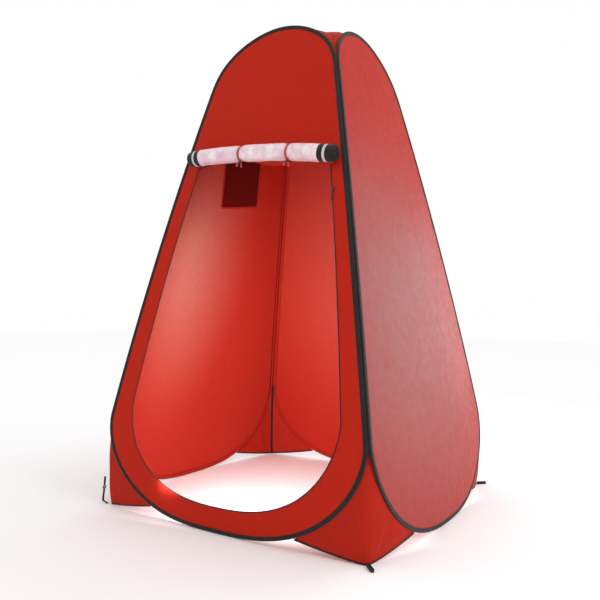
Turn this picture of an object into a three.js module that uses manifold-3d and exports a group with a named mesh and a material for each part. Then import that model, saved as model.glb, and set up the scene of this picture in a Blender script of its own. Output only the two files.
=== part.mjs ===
// Pop-up privacy shower tent: four sprung-wire hoops stand as a square tower of cloth walls.
// Millimetres, +Z up. The doorway faces -Y and the origin is on the ground under the roof's centre.
import * as THREE from 'three';
import { mergeVertices } from 'three/addons/utils/BufferGeometryUtils.js';
import Module from 'manifold-3d';

const wasm = await Module();
wasm.setup();

// ---- driving dimensions ----
const height = 1900;
const cloth = 1.0;                 // thickness of every cloth wall
// Hoop sleeve: half width, half thickness, wall, and how far its mouth stands in and its bend from its edge.
const sleeve = { outer: 6, thick: 3.6, wall: 0.8, mouth: 5, bend: 2.4 };
const wire = { radius: 2.0, offset: 1, sides: 5 };
const seamInset = 8.2;             // hoop centre line to the corner line
const sleeveGap = 0.4;
const openSeamSlack = 8;           // further inset of both hoops at the back right corner, which has no hinge

// Corner line of the tower: half width of the square at each height.
const tower = {
  floorHalf: 562, splitHeight: 360, splitHalf: 563, shoulderHeight: 1667, lean: 0.201, bow: 10,
};
const bulge = { front: 30, side: 65 };   // outward swell of a wall at the floor, none at the top

// A wall's hoop, as a teardrop: two arcs joined by nearly straight sides.
const hoopShape = {
  bottom: sleeve.outer + 0.4, split: tower.splitHeight,
  shoulder: tower.shoulderHeight, top: height - sleeve.outer,
  lowPower: 1.6, lowRoot: 2.9, highPower: 2.7, highRoot: 1.87,
  half: (z) => cornerHalf(z) - seamInset,
};
const door = {
  bottom: 92, split: 430, shoulder: 1325, top: 1354,
  lowPower: 1.7, lowRoot: 2.5, highPower: 3, highRoot: 3,
  half: (z) => 452 - 0.166 * (z - 430) + 8 * 4 * spanShare(z, 430, 1325),
};
const doorTape = { outer: 2.7, inner: 2.6, thick: 3 };   // binding of the doorway's edge
const bindingGap = 0.5;            // between a binding and the cloth it stands for the edge of
const doorShift = 12;              // the doorway sits a little right of the front wall's middle
const arcSteps = { low: 9, side: 5, high: 8 };

const roll = {
  radius: 32, left: -301, right: 358, endLength: 58, leftHeight: 1363, fall: 63, arch: 14, lift: 37,
};
const tiePlaces = [-43, 171];
const tie = { width: 9, thick: 1.2, clear: 0.5, sides: 20 };
const toggleBody = { radius: 3.2, length: 12, forward: 18, below: 2, tilt: 0.4 };
const rollEndGap = 0.6;

// The window's middle on the wall, its half width and half height, and its turn, parallel to the back seam.
const sash = {
  u: -28, z: 1375, half: 125, tall: 113, turn: 0.17,
  flapBorder: 14, flapLift: 1.8, meshBorder: -0.6, meshThick: 0.6, rows: 4, columns: 5,
};
const sashTape = { inner: 0.5, outer: 9, lift: 2, thick: 1.2, steps: 4 };
const hem = { height: 7, thick: 1.3, rise: 36, power: 1.3, join: 321 };   // join: where it meets the hoop
const zip = { sliderHeight: 1190, width: 9, height: 16, thick: 4, lift: 3.6, offset: 5.5 };
const puller = { width: 6, thick: 1.6, length: 34, below: 20, lift: 7.6 };

const colours = {
  red: 0xa8301f, redLight: 0xc94b3c, black: 0x15110f, silver: 0xe8dde0, tieRed: 0xb63a34,
  steel: 0x8d9094, mesh: 0x5a0f0a, zipBlack: 0x1a1413,
};

// ---- the tower's surfaces ----
function spanShare(z, low, high) {
  const u = (z - low) / (high - low);
  return u * (1 - u);
}

function cornerHalf(z) {
  const { floorHalf, splitHeight, splitHalf, shoulderHeight, lean, bow } = tower;
  if (z >= splitHeight) {
    return splitHalf - lean * (z - splitHeight) + 4 * bow * spanShare(z, splitHeight, shoulderHeight);
  }
  const slope = lean - (4 * bow) / (shoulderHeight - splitHeight);
  const t = (splitHeight - z) / splitHeight;
  return splitHalf + slope * splitHeight * t + (floorHalf - splitHalf - slope * splitHeight) * t * t;
}

// A point of the front-facing wall at (u, z), before it is raised off the cloth.
function wallPoint(u, z, swell) {
  const half = cornerHalf(z);
  const depth = half + swell * (1 - z / height) * (1 - (u / half) ** 2);
  return new THREE.Vector3(u, -depth, z);
}

// The same point raised by lift along the wall's outward normal.
function raised(u, z, lift, swell) {
  const step = 2;
  const across = wallPoint(u + step, z, swell).sub(wallPoint(u - step, z, swell));
  const up = wallPoint(u, z + step, swell).sub(wallPoint(u, z - step, swell));
  const normal = across.cross(up).normalize();
  return wallPoint(u, z, swell).addScaledVector(normal, lift);
}

// ---- closed outlines drawn on a wall ----
// Right half from the bottom's middle to the top's middle, then mirrored; each point has its outward normal.
// Slack draws the right side (first) and the left side (second) in from the corner line.
function outline(shape, slack = [0, 0]) {
  const right = [];
  for (let i = 0; i <= arcSteps.low; i++) {
    const t = Math.cos((i / arcSteps.low) * (Math.PI / 2));
    const z = shape.split - (shape.split - shape.bottom) * t;
    right.push([shape.half(z) * Math.max(0, 1 - t ** shape.lowPower) ** (1 / shape.lowRoot), z]);
  }
  for (let i = 1; i <= arcSteps.side; i++) {
    const z = shape.split + ((shape.shoulder - shape.split) * i) / arcSteps.side;
    right.push([shape.half(z), z]);
  }
  for (let i = 1; i <= arcSteps.high; i++) {
    const t = Math.sin((i / arcSteps.high) * (Math.PI / 2));
    const z = shape.shoulder + (shape.top - shape.shoulder) * t;
    right.push([shape.half(z) * Math.max(0, 1 - t ** shape.highPower) ** (1 / shape.highRoot), z]);
  }
  const drawnIn = (amount) => ([u, z]) => [u * (1 - amount / shape.half(z)), z];
  const left = right.slice(1, -1).reverse().map(drawnIn(slack[1])).map(([u, z]) => [-u, z]);
  const loop = [...right.map(drawnIn(slack[0])), ...left];
  return loop.map(([u, z], i) => {
    const before = loop[(i + loop.length - 1) % loop.length];
    const after = loop[(i + 1) % loop.length];
    const run = Math.hypot(after[0] - before[0], after[1] - before[1]);
    return { u, z, nu: (after[1] - before[1]) / run, nz: -(after[0] - before[0]) / run };
  });
}

const halfCount = arcSteps.low + arcSteps.side + arcSteps.high;

// ---- solids ----
function enclosedVolume(points, triangles) {
  const cross = new THREE.Vector3();
  let volume = 0;
  for (let i = 0; i < triangles.length; i += 3) {
    const [a, b, c] = [0, 1, 2].map((k) => points[triangles[i + k]]);
    volume += cross.crossVectors(a, b).dot(c) / 6;
  }
  return volume;
}

// A closed body; its triangles are turned round where they were listed facing in.
function solid(points, triangles) {
  const geometry = new THREE.BufferGeometry();
  geometry.setAttribute('position', new THREE.Float32BufferAttribute(points.flatMap((p) => p.toArray()), 3));
  geometry.setIndex(enclosedVolume(points, triangles) < 0 ? triangles.reverse() : triangles);
  geometry.computeVertexNormals();
  return geometry;
}

// A ring or bar through sections of equal length, each a closed list of points.
function loft(sections, closed) {
  const points = sections.flat();
  const size = sections[0].length;
  const count = sections.length;
  const triangles = [];
  for (let i = 0; i < (closed ? count : count - 1); i++) {
    for (let j = 0; j < size; j++) {
      const a = i * size + j;
      const b = i * size + ((j + 1) % size);
      const c = ((i + 1) % count) * size + j;
      const d = ((i + 1) % count) * size + ((j + 1) % size);
      triangles.push(a, b, d, a, d, c);
    }
  }
  if (!closed) {
    const last = (count - 1) * size;
    for (let j = 1; j < size - 1; j++) {
      triangles.push(0, j + 1, j, last, last + j, last + j + 1);
    }
  }
  return solid(points, triangles);
}

// A sheet of one thickness over rows of wall places {u, z}; wrapped joins the last row to the first.
function sheet(rows, swell, lift, thick, wrapped = false) {
  const columns = rows[0].length;
  const outer = rows.flat().map((p) => raised(p.u, p.z, lift + thick / 2, swell));
  const inner = rows.flat().map((p) => raised(p.u, p.z, lift - thick / 2, swell));
  return skin(outer, inner, rows.length, columns, wrapped);
}

// Two matching grids of points, outer and inner, closed along their edges.
function skin(outer, inner, rowCount, columns, wrapped) {
  const below = outer.length;
  const triangles = [];
  const quad = (a, b, c, d) => triangles.push(a, b, c, a, c, d);
  const rowEnd = wrapped ? rowCount : rowCount - 1;
  for (let i = 0; i < rowEnd; i++) {
    const here = i * columns;
    const next = ((i + 1) % rowCount) * columns;
    for (let j = 0; j < columns - 1; j++) {
      quad(here + j, here + j + 1, next + j + 1, next + j);
      quad(below + here + j, below + next + j, below + next + j + 1, below + here + j + 1);
    }
    quad(here, next, below + next, below + here);
    const edge = columns - 1;
    quad(here + edge, below + here + edge, below + next + edge, next + edge);
  }
  if (!wrapped) {
    const last = (rowCount - 1) * columns;
    for (let j = 0; j < columns - 1; j++) {
      quad(j, below + j, below + j + 1, j + 1);
      quad(last + j, last + j + 1, below + last + j + 1, below + last + j);
    }
  }
  return solid([...outer, ...inner], triangles);
}

// Rows of places between two matching runs of places.
function between(from, to, columns) {
  return from.map((a, i) => {
    const b = to[i];
    return Array.from({ length: columns + 1 }, (_, j) => {
      const share = j / columns;
      return { u: a.u + (b.u - a.u) * share, z: a.z + (b.z - a.z) * share };
    });
  });
}

function shifted(place, distance) {
  return { u: place.u + place.nu * distance, z: place.z + place.nz * distance };
}

// A profile of (off, lift) pairs carried round an outline on a wall.
function carried(places, profile, swell) {
  return places.map((place) => profile.map(([off, lift]) => {
    const p = shifted(place, off);
    return raised(p.u, p.z, lift, swell);
  }));
}

function toManifold(geometry) {
  const bare = geometry.clone();
  bare.deleteAttribute('normal');
  bare.deleteAttribute('uv');
  const merged = mergeVertices(bare);
  return new wasm.Manifold(new wasm.Mesh({
    numProp: 3,
    vertProperties: new Float32Array(merged.attributes.position.array),
    triVerts: new Uint32Array(merged.index.array),
  }));
}

function cut(geometry, cutter) {
  const result = toManifold(geometry).subtract(toManifold(cutter)).getMesh();
  const made = new THREE.BufferGeometry();
  made.setAttribute('position', new THREE.BufferAttribute(new Float32Array(result.vertProperties), 3));
  made.setIndex(new THREE.BufferAttribute(new Uint32Array(result.triVerts), 1));
  made.computeVertexNormals();
  return made;
}

const materials = {
  cloth: () => new THREE.MeshStandardMaterial({ color: colours.red, roughness: 0.6, metalness: 0 }),
  lining: () => new THREE.MeshStandardMaterial({ color: colours.redLight, roughness: 0.55, metalness: 0 }),
  binding: () => new THREE.MeshStandardMaterial({ color: colours.black, roughness: 0.8, metalness: 0 }),
  webbing: () => new THREE.MeshStandardMaterial({ color: colours.black, roughness: 0.85, metalness: 0 }),
  coated: () => new THREE.MeshStandardMaterial({ color: colours.silver, roughness: 0.35, metalness: 0.2 }),
  tie: () => new THREE.MeshStandardMaterial({ color: colours.tieRed, roughness: 0.7, metalness: 0 }),
  wire: () => new THREE.MeshStandardMaterial({ color: colours.steel, roughness: 0.35, metalness: 1 }),
  netting: () => new THREE.MeshStandardMaterial({ color: colours.mesh, roughness: 0.9, metalness: 0 }),
  plastic: () => new THREE.MeshStandardMaterial({ color: colours.zipBlack, roughness: 0.45, metalness: 0 }),
};

function named(name, geometry, material) {
  const mesh = new THREE.Mesh(geometry, materials[material]());
  mesh.name = name;
  return mesh;
}

// ---- one wall: wire, sleeve, cloth, and the two gusset halves with their hems ----
function mirrored(place) {
  return { u: -place.u, z: place.z, nu: -place.nu, nz: place.nz };
}

// One side of a hoop from the bottom's middle up to the top's, as if it were the right side.
function sideOf(hoop, side) {
  if (side > 0) {
    return hoop.slice(0, halfCount + 1);
  }
  return [hoop[0], ...hoop.slice(halfCount).reverse()].map(mirrored);
}

function wireOf({ hoop, swell }) {
  const profile = Array.from({ length: wire.sides }, (_, i) => {
    const angle = (i / wire.sides) * Math.PI * 2;
    return [Math.cos(angle) * wire.radius + wire.offset, Math.sin(angle) * wire.radius];
  });
  return loft(carried(hoop, profile, swell), true);
}

// Channel section, open towards the cloth it is sewn to.
function sleeveOf({ hoop, swell }) {
  const { outer, thick, wall, mouth, bend } = sleeve;
  const shoulder = outer - bend;
  const inside = shoulder - wall / 2;
  const profile = [
    [-mouth, -thick], [shoulder, -thick], [outer, 0], [shoulder, thick], [-mouth, thick],
    [-mouth, thick - wall], [inside, thick - wall],
    [outer - wall, 0], [inside, -thick + wall], [-mouth, -thick + wall],
  ];
  return loft(carried(hoop, profile, swell), true);
}

const wallColumns = 7;
const ringColumns = 3;
const gussetColumns = 2;
const clothInset = -(sleeve.mouth + sleeveGap);

function plainWall({ hoop, swell }) {
  const [rightEdge, leftEdge] = [1, -1].map((side) => sideOf(hoop, side)
    .slice(1, -1)
    .map((place) => shifted(place, clothInset)));
  return sheet(between(rightEdge, leftEdge.map(mirrored), wallColumns).reverse(), swell, 0, cloth);
}

const doorway = outline(door).map((place) => ({ ...place, u: place.u + doorShift }));

function doorWall({ hoop, swell }) {
  const outside = hoop.map((place) => shifted(place, clothInset));
  const inside = doorway.map((place) => shifted(place, doorTape.outer + bindingGap));
  return sheet(between(outside, inside, ringColumns), swell, 0, cloth, true);
}

// A gusset runs from where the hoop has drawn clear of the corner line down to where the hem meets the hoop.
const tipRow = 5;
const tipClearance = 2.2;
const tipHalf = cornerHalf(0) - tipClearance;

function hemHeight(u) {
  const share = (tipHalf - u) / (tipHalf - hem.join);
  return hem.rise * Math.min(1, Math.max(0, share)) ** hem.power;
}

function gussetEdges(hoop, side) {
  const gussetArc = sideOf(hoop, side).slice(3, arcSteps.low).reverse();
  const shiftedArc = gussetArc.map((place) => shifted(place, sleeve.outer + sleeveGap));
  const arc = shiftedArc.flatMap((place, i) => {
    const next = shiftedArc[i + 1];
    return next ? [place, { u: (place.u + next.u) / 2, z: (place.z + next.z) / 2 }] : [place];
  });
  const lowest = hem.height + bindingGap;
  const hemSteps = arc.length - 1 - tipRow;
  const outer = arc.map((place, i) => {
    if (i <= tipRow) {
      const z = lowest + (arc[0].z - lowest) * (1 - i / tipRow);
      return { u: cornerHalf(z) - tipClearance, z };
    }
    const { u, z } = hemPlace((i - tipRow) / hemSteps);
    return { u, z: z + lowest };
  });
  return { arc, outer, hemSteps };
}

// Lower edge of the hem, from the corner's tip (0) to the hoop (1).
function hemPlace(share) {
  const u = tipHalf + (hem.join - tipHalf) * share;
  return { u, z: hemHeight(u) };
}

function gussetOf({ hoop, swell }, side) {
  const { arc, outer } = gussetEdges(hoop, side);
  const rows = between(arc, outer, gussetColumns).map((row) => row.map(({ u, z }) => ({ u: side * u, z })));
  return sheet(side > 0 ? rows.reverse() : rows, swell, 0, cloth);
}

function hemOf({ hoop, swell }, side) {
  const { hemSteps } = gussetEdges(hoop, side);
  const rows = Array.from({ length: hemSteps + 1 }, (_, i) => {
    const { u, z } = hemPlace(i / hemSteps);
    return [{ u: side * u, z: z + hem.height }, { u: side * u, z }];
  });
  return sheet(side > 0 ? rows.reverse() : rows, swell, 0, hem.thick * 2);
}

const quarter = Math.PI / 2;
const walls = [
  { name: 'front', turn: 0, swell: bulge.front, slack: [0, 0] },
  { name: 'right', turn: quarter, swell: bulge.side, slack: [openSeamSlack, 0] },
  { name: 'back', turn: 2 * quarter, swell: bulge.front, slack: [0, openSeamSlack] },
  { name: 'left', turn: 3 * quarter, swell: bulge.side, slack: [0, 0] },
].map((wall) => ({ ...wall, hoop: outline(hoopShape, wall.slack) }));

function wallGroup(wall, clothGeometry) {
  const { name, turn } = wall;
  const group = new THREE.Group();
  group.rotation.z = turn;
  group.add(named(`wire_${name}`, wireOf(wall), 'wire'));
  group.add(named(`sleeve_${name}`, sleeveOf(wall), 'binding'));
  group.add(named(`wall_${name}`, clothGeometry, 'cloth'));
  for (const [word, side] of [['a', -1], ['b', 1]]) {
    group.add(named(`gusset_${name}_${word}`, gussetOf(wall, side), 'cloth'));
    group.add(named(`hem_${name}_${word}`, hemOf(wall, side), 'binding'));
  }
  return group;
}

// ---- roof: a cap from hoop top to hoop top ----
const roofCap = { gap: 1.5, crownDrop: 12, firstStep: 3 };

function roofGeometry() {
  const border = sleeve.outer + roofCap.gap;
  const first = arcSteps.low + arcSteps.side + roofCap.firstStep;
  const last = first + 2 * (arcSteps.high - roofCap.firstStep);
  const rim = walls.flatMap(({ hoop, swell, turn }) => hoop.slice(first, last + 1).reverse()
    .map((place) => shifted(place, border))
    .map(({ u, z }) => raised(u, z, 0, swell).applyAxisAngle(new THREE.Vector3(0, 0, 1), turn)));
  const crown = new THREE.Vector3(0, 0, height - roofCap.crownDrop);
  const rings = [1, 0.66, 0.33, 0.03];   // the last leaves a pinhole, so that the cap stays one ring of cells
  const grid = rim.map((p) => rings.map((share) => crown.clone().lerp(p, share)));
  const outer = grid.flat();
  const inner = outer.map((p) => p.clone().add(new THREE.Vector3(0, 0, -cloth)));
  return skin(outer, inner, grid.length, rings.length, true);
}

// ---- the rolled-up door and its ties ----
function rollCentre(u) {
  const share = (u - roll.left) / (roll.right - roll.left);
  const z = roll.leftHeight - roll.fall * share + 4 * roll.arch * share * (1 - share);
  return raised(u, z, roll.lift, bulge.front);
}

class RollLine extends THREE.Curve {
  constructor(from, to) {
    super();
    this.from = from;
    this.to = to;
  }

  getPoint(t, target = new THREE.Vector3()) {
    return target.copy(rollCentre(this.from + (this.to - this.from) * t));
  }
}

function rollPiece(from, to, steps) {
  const section = new THREE.Shape(new THREE.Path().absarc(0, 0, roll.radius, 0, Math.PI * 2).getPoints(6));
  return new THREE.ExtrudeGeometry(section, { steps, extrudePath: new RollLine(from, to) });
}

function tieRing(u) {
  const inside = roll.radius + tie.clear;
  const profile = [
    new THREE.Vector2(inside, -tie.width / 2),
    new THREE.Vector2(inside + tie.thick, -tie.width / 2),
    new THREE.Vector2(inside + tie.thick, tie.width / 2),
    new THREE.Vector2(inside, tie.width / 2),
    new THREE.Vector2(inside, -tie.width / 2),
  ];
  const ring = new THREE.LatheGeometry(profile, tie.sides);
  const along = rollCentre(u + 1).sub(rollCentre(u - 1)).normalize();
  ring.applyQuaternion(new THREE.Quaternion().setFromUnitVectors(new THREE.Vector3(0, 1, 0), along));
  const centre = rollCentre(u);
  return ring.translate(centre.x, centre.y, centre.z);
}

function toggle(u) {
  const { radius, length, forward, below, tilt } = toggleBody;
  const centre = rollCentre(u);
  const body = new THREE.CapsuleGeometry(radius, length, 3, 8);
  body.rotateZ(Math.PI / 2 - tilt);
  return body.translate(centre.x, centre.y - forward, centre.z - roll.radius - below);
}

// ---- doorway edge and zip ----
function doorBinding() {
  const { outer, inner, thick } = doorTape;
  const profile = [[-inner, -thick / 2], [outer, -thick / 2], [outer, thick / 2], [-inner, thick / 2]];
  return loft(carried(doorway, profile, bulge.front), true);
}

const leanSpan = 100;

// Angle by which the wall leans in, just below height z.
function wallLean(z) {
  return Math.atan2(cornerHalf(z - leanSpan) - cornerHalf(z), leanSpan);
}

function zipSlider() {
  const z = zip.sliderHeight;
  const u = doorShift + door.half(z) + zip.offset;
  const body = new THREE.BoxGeometry(zip.width, zip.thick, zip.height, 2, 1, 2);
  body.rotateY(Math.atan2(door.half(z) - door.half(z - leanSpan), leanSpan));
  body.rotateX(-wallLean(z));
  const p = raised(u, z, zip.lift + zip.thick / 2, bulge.front);
  return body.translate(p.x, p.y, p.z);
}

function zipPuller() {
  const z = zip.sliderHeight;
  const u = doorShift + door.half(z) + zip.offset;
  const tab = new THREE.BoxGeometry(puller.width, puller.thick, puller.length);
  const p = raised(u, z - zip.height / 2 - puller.below, puller.lift, bulge.front);
  tab.rotateX(-wallLean(z));
  return tab.translate(p.x, p.y, p.z);
}

// ---- window in the left wall ----
function sashTurned(du, dz) {
  const [c, s] = [Math.cos(sash.turn), Math.sin(sash.turn)];
  return [du * c + dz * s, dz * c - du * s];
}

function sashPlace(du, dz) {
  const [u, z] = sashTurned(du, dz);
  return { u: sash.u + u, z: sash.z + z };
}

function sashRows(border) {
  const from = [];
  const to = [];
  for (let i = 0; i <= sash.rows; i++) {
    const dz = (sash.tall + border) * ((2 * i) / sash.rows - 1);
    from.push(sashPlace(-sash.half - border, dz));
    to.push(sashPlace(sash.half + border, dz));
  }
  return between(from, to, sash.columns);
}

function sashSheet(border, lift, thick) {
  return sheet(sashRows(border), bulge.side, lift, thick);
}

function sashFrame() {
  const corners = [[-1, -1], [1, -1], [1, 1], [-1, 1]];
  const places = corners.flatMap(([cu, cz], i) => {
    const [nextU, nextZ] = corners[(i + 1) % corners.length];
    return Array.from({ length: sashTape.steps }, (_, k) => {
      const share = k / sashTape.steps;
      const du = cu + (nextU - cu) * share;
      const dz = cz + (nextZ - cz) * share;
      const [nu, nz] = sashTurned(Math.abs(du) === 1 ? du : 0, Math.abs(dz) === 1 ? dz : 0);
      return { ...sashPlace(du * sash.half, dz * sash.tall), nu, nz };
    });
  });
  const { inner, outer, thick } = sashTape;
  const low = -cloth / 2 - sashTape.lift - thick / 2;
  const profile = [[inner, low], [outer, low], [outer, low + thick], [inner, low + thick]];
  return loft(carried(places, profile, bulge.side), true);
}

function windowedWall(leftSide) {
  const wall = plainWall(leftSide);
  const cutter = new THREE.BoxGeometry(2 * sash.half, 200, 2 * sash.tall);
  const middle = wallPoint(sash.u, sash.z, bulge.side);
  return cut(wall, cutter.rotateY(sash.turn).translate(middle.x, middle.y, middle.z));
}

// ---- webbing at the ground ----
const stake = { long: 34, radius: 6, wall: 2, tall: 10 };

function stakeLoop(sx, sy) {
  const { long, radius, wall, tall } = stake;
  const ringShape = (r) => {
    const path = new THREE.Path();
    path.absarc(long, 0, r, -Math.PI / 2, Math.PI / 2);
    path.absarc(0, 0, r, Math.PI / 2, (3 * Math.PI) / 2);
    return path.getPoints(4).slice(0, -1);
  };
  const shape = new THREE.Shape(ringShape(radius));
  shape.holes.push(new THREE.Path(ringShape(radius - wall)));
  const ring = new THREE.ExtrudeGeometry(shape, { depth: tall, bevelEnabled: false, curveSegments: 4 });
  const reach = cornerHalf(0) + radius;
  ring.rotateZ(Math.atan2(sy, sx));
  return ring.translate(sx * reach, sy * reach, 0);
}

// The tension strap stands out from the front left corner, down to its peg place and back to the tip.
const tension = {
  width: 8, thick: 1.6, turn: 0.26, lean: 0.35, body: [4, 13, 12], endShare: 0.16,
  top: [-580, -574.5, 108], buckle: [-599, -561, 60],
  low: [[-602, -559, 52], [-614, -552, 20], [-621, -548, 4], [-616, -550, 1.2], [-572, -566, 1.2]],
};

function strapBar(places) {
  const points = places.map((place) => new THREE.Vector3(...place));
  const side = new THREE.Vector3(Math.sin(tension.turn), Math.cos(tension.turn), 0);
  const sections = points.map((p, i) => {
    const before = points[Math.max(0, i - 1)];
    const after = points[Math.min(points.length - 1, i + 1)];
    const out = after.clone().sub(before).normalize().cross(side).normalize();
    return [[-1, -1], [1, -1], [1, 1], [-1, 1]].map(([s, t]) => p.clone()
      .addScaledVector(side, (s * tension.width) / 2)
      .addScaledVector(out, (t * tension.thick) / 2));
  });
  return loft(sections, false);
}

function tensionBuckle() {
  const [x, y, z] = tension.buckle;
  const body = new THREE.BoxGeometry(...tension.body);
  return body.rotateZ(-tension.turn).rotateY(tension.lean).translate(x, y, z);
}

// ---- assembly ----
const group = new THREE.Group();
const [frontSide, rightSide, backSide, leftSide] = walls;
group.add(wallGroup(frontSide, doorWall(frontSide)));
group.add(wallGroup(rightSide, plainWall(rightSide)));
group.add(wallGroup(backSide, plainWall(backSide)));
const leftWall = wallGroup(leftSide, windowedWall(leftSide));
const flapLift = cloth / 2 + sash.flapLift;
leftWall.add(named('window_mesh', sashSheet(sash.meshBorder, 0, sash.meshThick), 'netting'));
leftWall.add(named('window_frame', sashFrame(), 'cloth'));
leftWall.add(named('window_flap', sashSheet(sash.flapBorder, flapLift, cloth), 'cloth'));
group.add(leftWall);
group.add(named('roof', roofGeometry(), 'cloth'));

group.add(named('door_edge', doorBinding(), 'binding'));
group.add(named('zip_slider', zipSlider(), 'plastic'));
group.add(named('zip_puller', zipPuller(), 'plastic'));

const { left, right, endLength } = roll;
group.add(named('door_roll', rollPiece(left + endLength, right - endLength, 12), 'coated'));
group.add(named('door_roll_end_left', rollPiece(left, left + endLength - rollEndGap, 2), 'binding'));
group.add(named('door_roll_end_right', rollPiece(right - endLength + rollEndGap, right, 2), 'binding'));
tiePlaces.forEach((u, i) => {
  group.add(named(`door_tie_${i + 1}`, tieRing(u), 'tie'));
  group.add(named(`door_toggle_${i + 1}`, toggle(u), 'plastic'));
});

for (const [name, sx, sy] of [['front_right', 1, -1], ['back_right', 1, 1], ['back_left', -1, 1]]) {
  group.add(named(`stake_loop_${name}`, stakeLoop(sx, sy), 'webbing'));
}

const bucklePoint = new THREE.Vector3(...tension.buckle);
const strapEnd = bucklePoint.clone().lerp(new THREE.Vector3(...tension.top), tension.endShare);
group.add(named('tension_strap_upper', strapBar([tension.top, strapEnd.toArray()]), 'webbing'));
group.add(named('tension_buckle', tensionBuckle(), 'plastic'));
group.add(named('tension_strap_lower', strapBar(tension.low), 'webbing'));

export default group;
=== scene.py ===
"""Looks of the pop-up privacy shower tent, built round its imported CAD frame.

Metres, +Z up, the doorway faces -Y. On a wall, u runs to the right seen from outside, and z is the height.
"""
import math

import bmesh
import bpy
import numpy as np
from mathutils import Matrix, Vector, noise


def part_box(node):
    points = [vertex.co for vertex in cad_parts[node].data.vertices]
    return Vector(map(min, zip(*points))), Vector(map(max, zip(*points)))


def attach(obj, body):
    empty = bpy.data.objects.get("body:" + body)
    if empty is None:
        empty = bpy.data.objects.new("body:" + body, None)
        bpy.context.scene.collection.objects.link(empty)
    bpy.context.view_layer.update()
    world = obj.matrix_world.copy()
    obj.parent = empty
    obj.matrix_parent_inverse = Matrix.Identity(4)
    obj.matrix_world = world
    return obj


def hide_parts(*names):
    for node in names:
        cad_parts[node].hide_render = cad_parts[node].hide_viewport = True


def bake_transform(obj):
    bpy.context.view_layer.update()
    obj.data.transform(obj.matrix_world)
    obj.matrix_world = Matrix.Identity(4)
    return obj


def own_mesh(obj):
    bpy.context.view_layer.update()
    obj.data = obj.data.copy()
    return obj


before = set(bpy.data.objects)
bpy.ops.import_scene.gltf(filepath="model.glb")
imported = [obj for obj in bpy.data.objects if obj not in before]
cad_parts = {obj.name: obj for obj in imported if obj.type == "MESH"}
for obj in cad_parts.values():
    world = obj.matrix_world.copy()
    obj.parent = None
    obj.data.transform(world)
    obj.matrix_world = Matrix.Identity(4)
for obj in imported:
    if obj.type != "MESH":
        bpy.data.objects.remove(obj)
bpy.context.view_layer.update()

# ---- camera ----
CAMERA_PLACE = (1.3887, -2.2861, 0.7479)
CAMERA_FORWARD = (-0.52942, 0.84793, 0.02691)
CAMERA_UP = (0.00466, -0.02881, 0.99957)
CAMERA_LENS = 37.52

# ---- the tower, as in the CAD ----
HEIGHT = 1.9
FLOOR_HALF, SPLIT_Z, SPLIT_HALF, SHOULDER_Z = 0.562, 0.360, 0.563, 1.667
LEAN, BOW = 0.201, 0.010
FRONT_SWELL, SIDE_SWELL = 0.030, 0.065
SEAM_INSET, OPEN_SLACK = 0.0082, 0.008
HOOP = {"bottom": 0.0064, "split": 0.360, "shoulder": 1.667, "top": 1.894,
        "low_power": 1.6, "low_root": 2.9, "high_power": 2.7, "high_root": 1.87}
DOOR = {"bottom": 0.092, "split": 0.430, "shoulder": 1.325, "top": 1.354,
        "low_power": 1.7, "low_root": 2.5, "high_power": 3.0, "high_root": 3.0}
DOOR_SHIFT = 0.012
CLOTH = 0.0007

# ---- the door roll ----
ROLL = {"radius": 0.0315, "core": 0.006, "left": -0.301, "right": 0.358, "left_z": 1.363, "fall": 0.063,
        "arch": 0.014, "lift": 0.037, "pitch": 0.0024}
BAND, BAND_LINE = 0.058, (0.037, 0.027)
TIES = (-0.043, 0.171)

# ---- window ----
SASH = {"u": -0.028, "z": 1.375, "half": 0.125, "tall": 0.113, "turn": 0.17}


def corner_half(z):
    """Half width of the tower's square at height z."""
    z = np.asarray(z, float)
    u = (z - SPLIT_Z) / (SHOULDER_Z - SPLIT_Z)
    above = SPLIT_HALF - LEAN * (z - SPLIT_Z) + 4 * BOW * u * (1 - u)
    slope = LEAN - 4 * BOW / (SHOULDER_Z - SPLIT_Z)
    t = (SPLIT_Z - z) / SPLIT_Z
    below = SPLIT_HALF + slope * SPLIT_Z * t + (FLOOR_HALF - SPLIT_HALF - slope * SPLIT_Z) * t * t
    return np.where(z >= SPLIT_Z, above, below)


def hoop_half(z):
    return corner_half(z) - SEAM_INSET


def door_half(z):
    s = (np.asarray(z, float) - DOOR["split"]) / (DOOR["shoulder"] - DOOR["split"])
    return 0.452 - 0.166 * (z - DOOR["split"]) + 0.032 * s * (1 - s)


def unit(v):
    return v / np.maximum(1e-12, np.linalg.norm(v, axis=-1, keepdims=True))


def closed_path(loop):
    return np.r_[loop, loop[:1]]


def even(path, count):
    """The path's points (n, 2 or 3), taken again at equal steps along it."""
    run = np.r_[0, np.cumsum(np.linalg.norm(np.diff(path, axis=0), axis=1))]
    at = np.linspace(0, run[-1], count)
    return np.stack([np.interp(at, run, path[:, k]) for k in range(path.shape[1])], 1)


def even_loop(loop, count):
    return even(closed_path(loop), count + 1)[:-1]


def circle(count):
    return np.linspace(0, 2 * math.pi, count, endpoint=False)


def half_outline(shape, half):
    """Right half of a closed outline in (u, z), from the bottom's middle to the top's."""
    angle = np.linspace(0, math.pi / 2, 500)
    t = np.cos(angle)
    z = shape["split"] - (shape["split"] - shape["bottom"]) * t
    width = np.maximum(0, 1 - t ** shape["low_power"]) ** (1 / shape["low_root"])
    low = np.stack([half(z) * width, z], 1)
    z = np.linspace(shape["split"], shape["shoulder"], 500)[1:]
    side = np.stack([half(z), z], 1)
    t = np.sin(angle)[1:]
    z = shape["shoulder"] + (shape["top"] - shape["shoulder"]) * t
    width = np.maximum(0, 1 - t ** shape["high_power"]) ** (1 / shape["high_root"])
    high = np.stack([half(z) * width, z], 1)
    return even(np.concatenate([low, side, high]), 3000)


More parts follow.
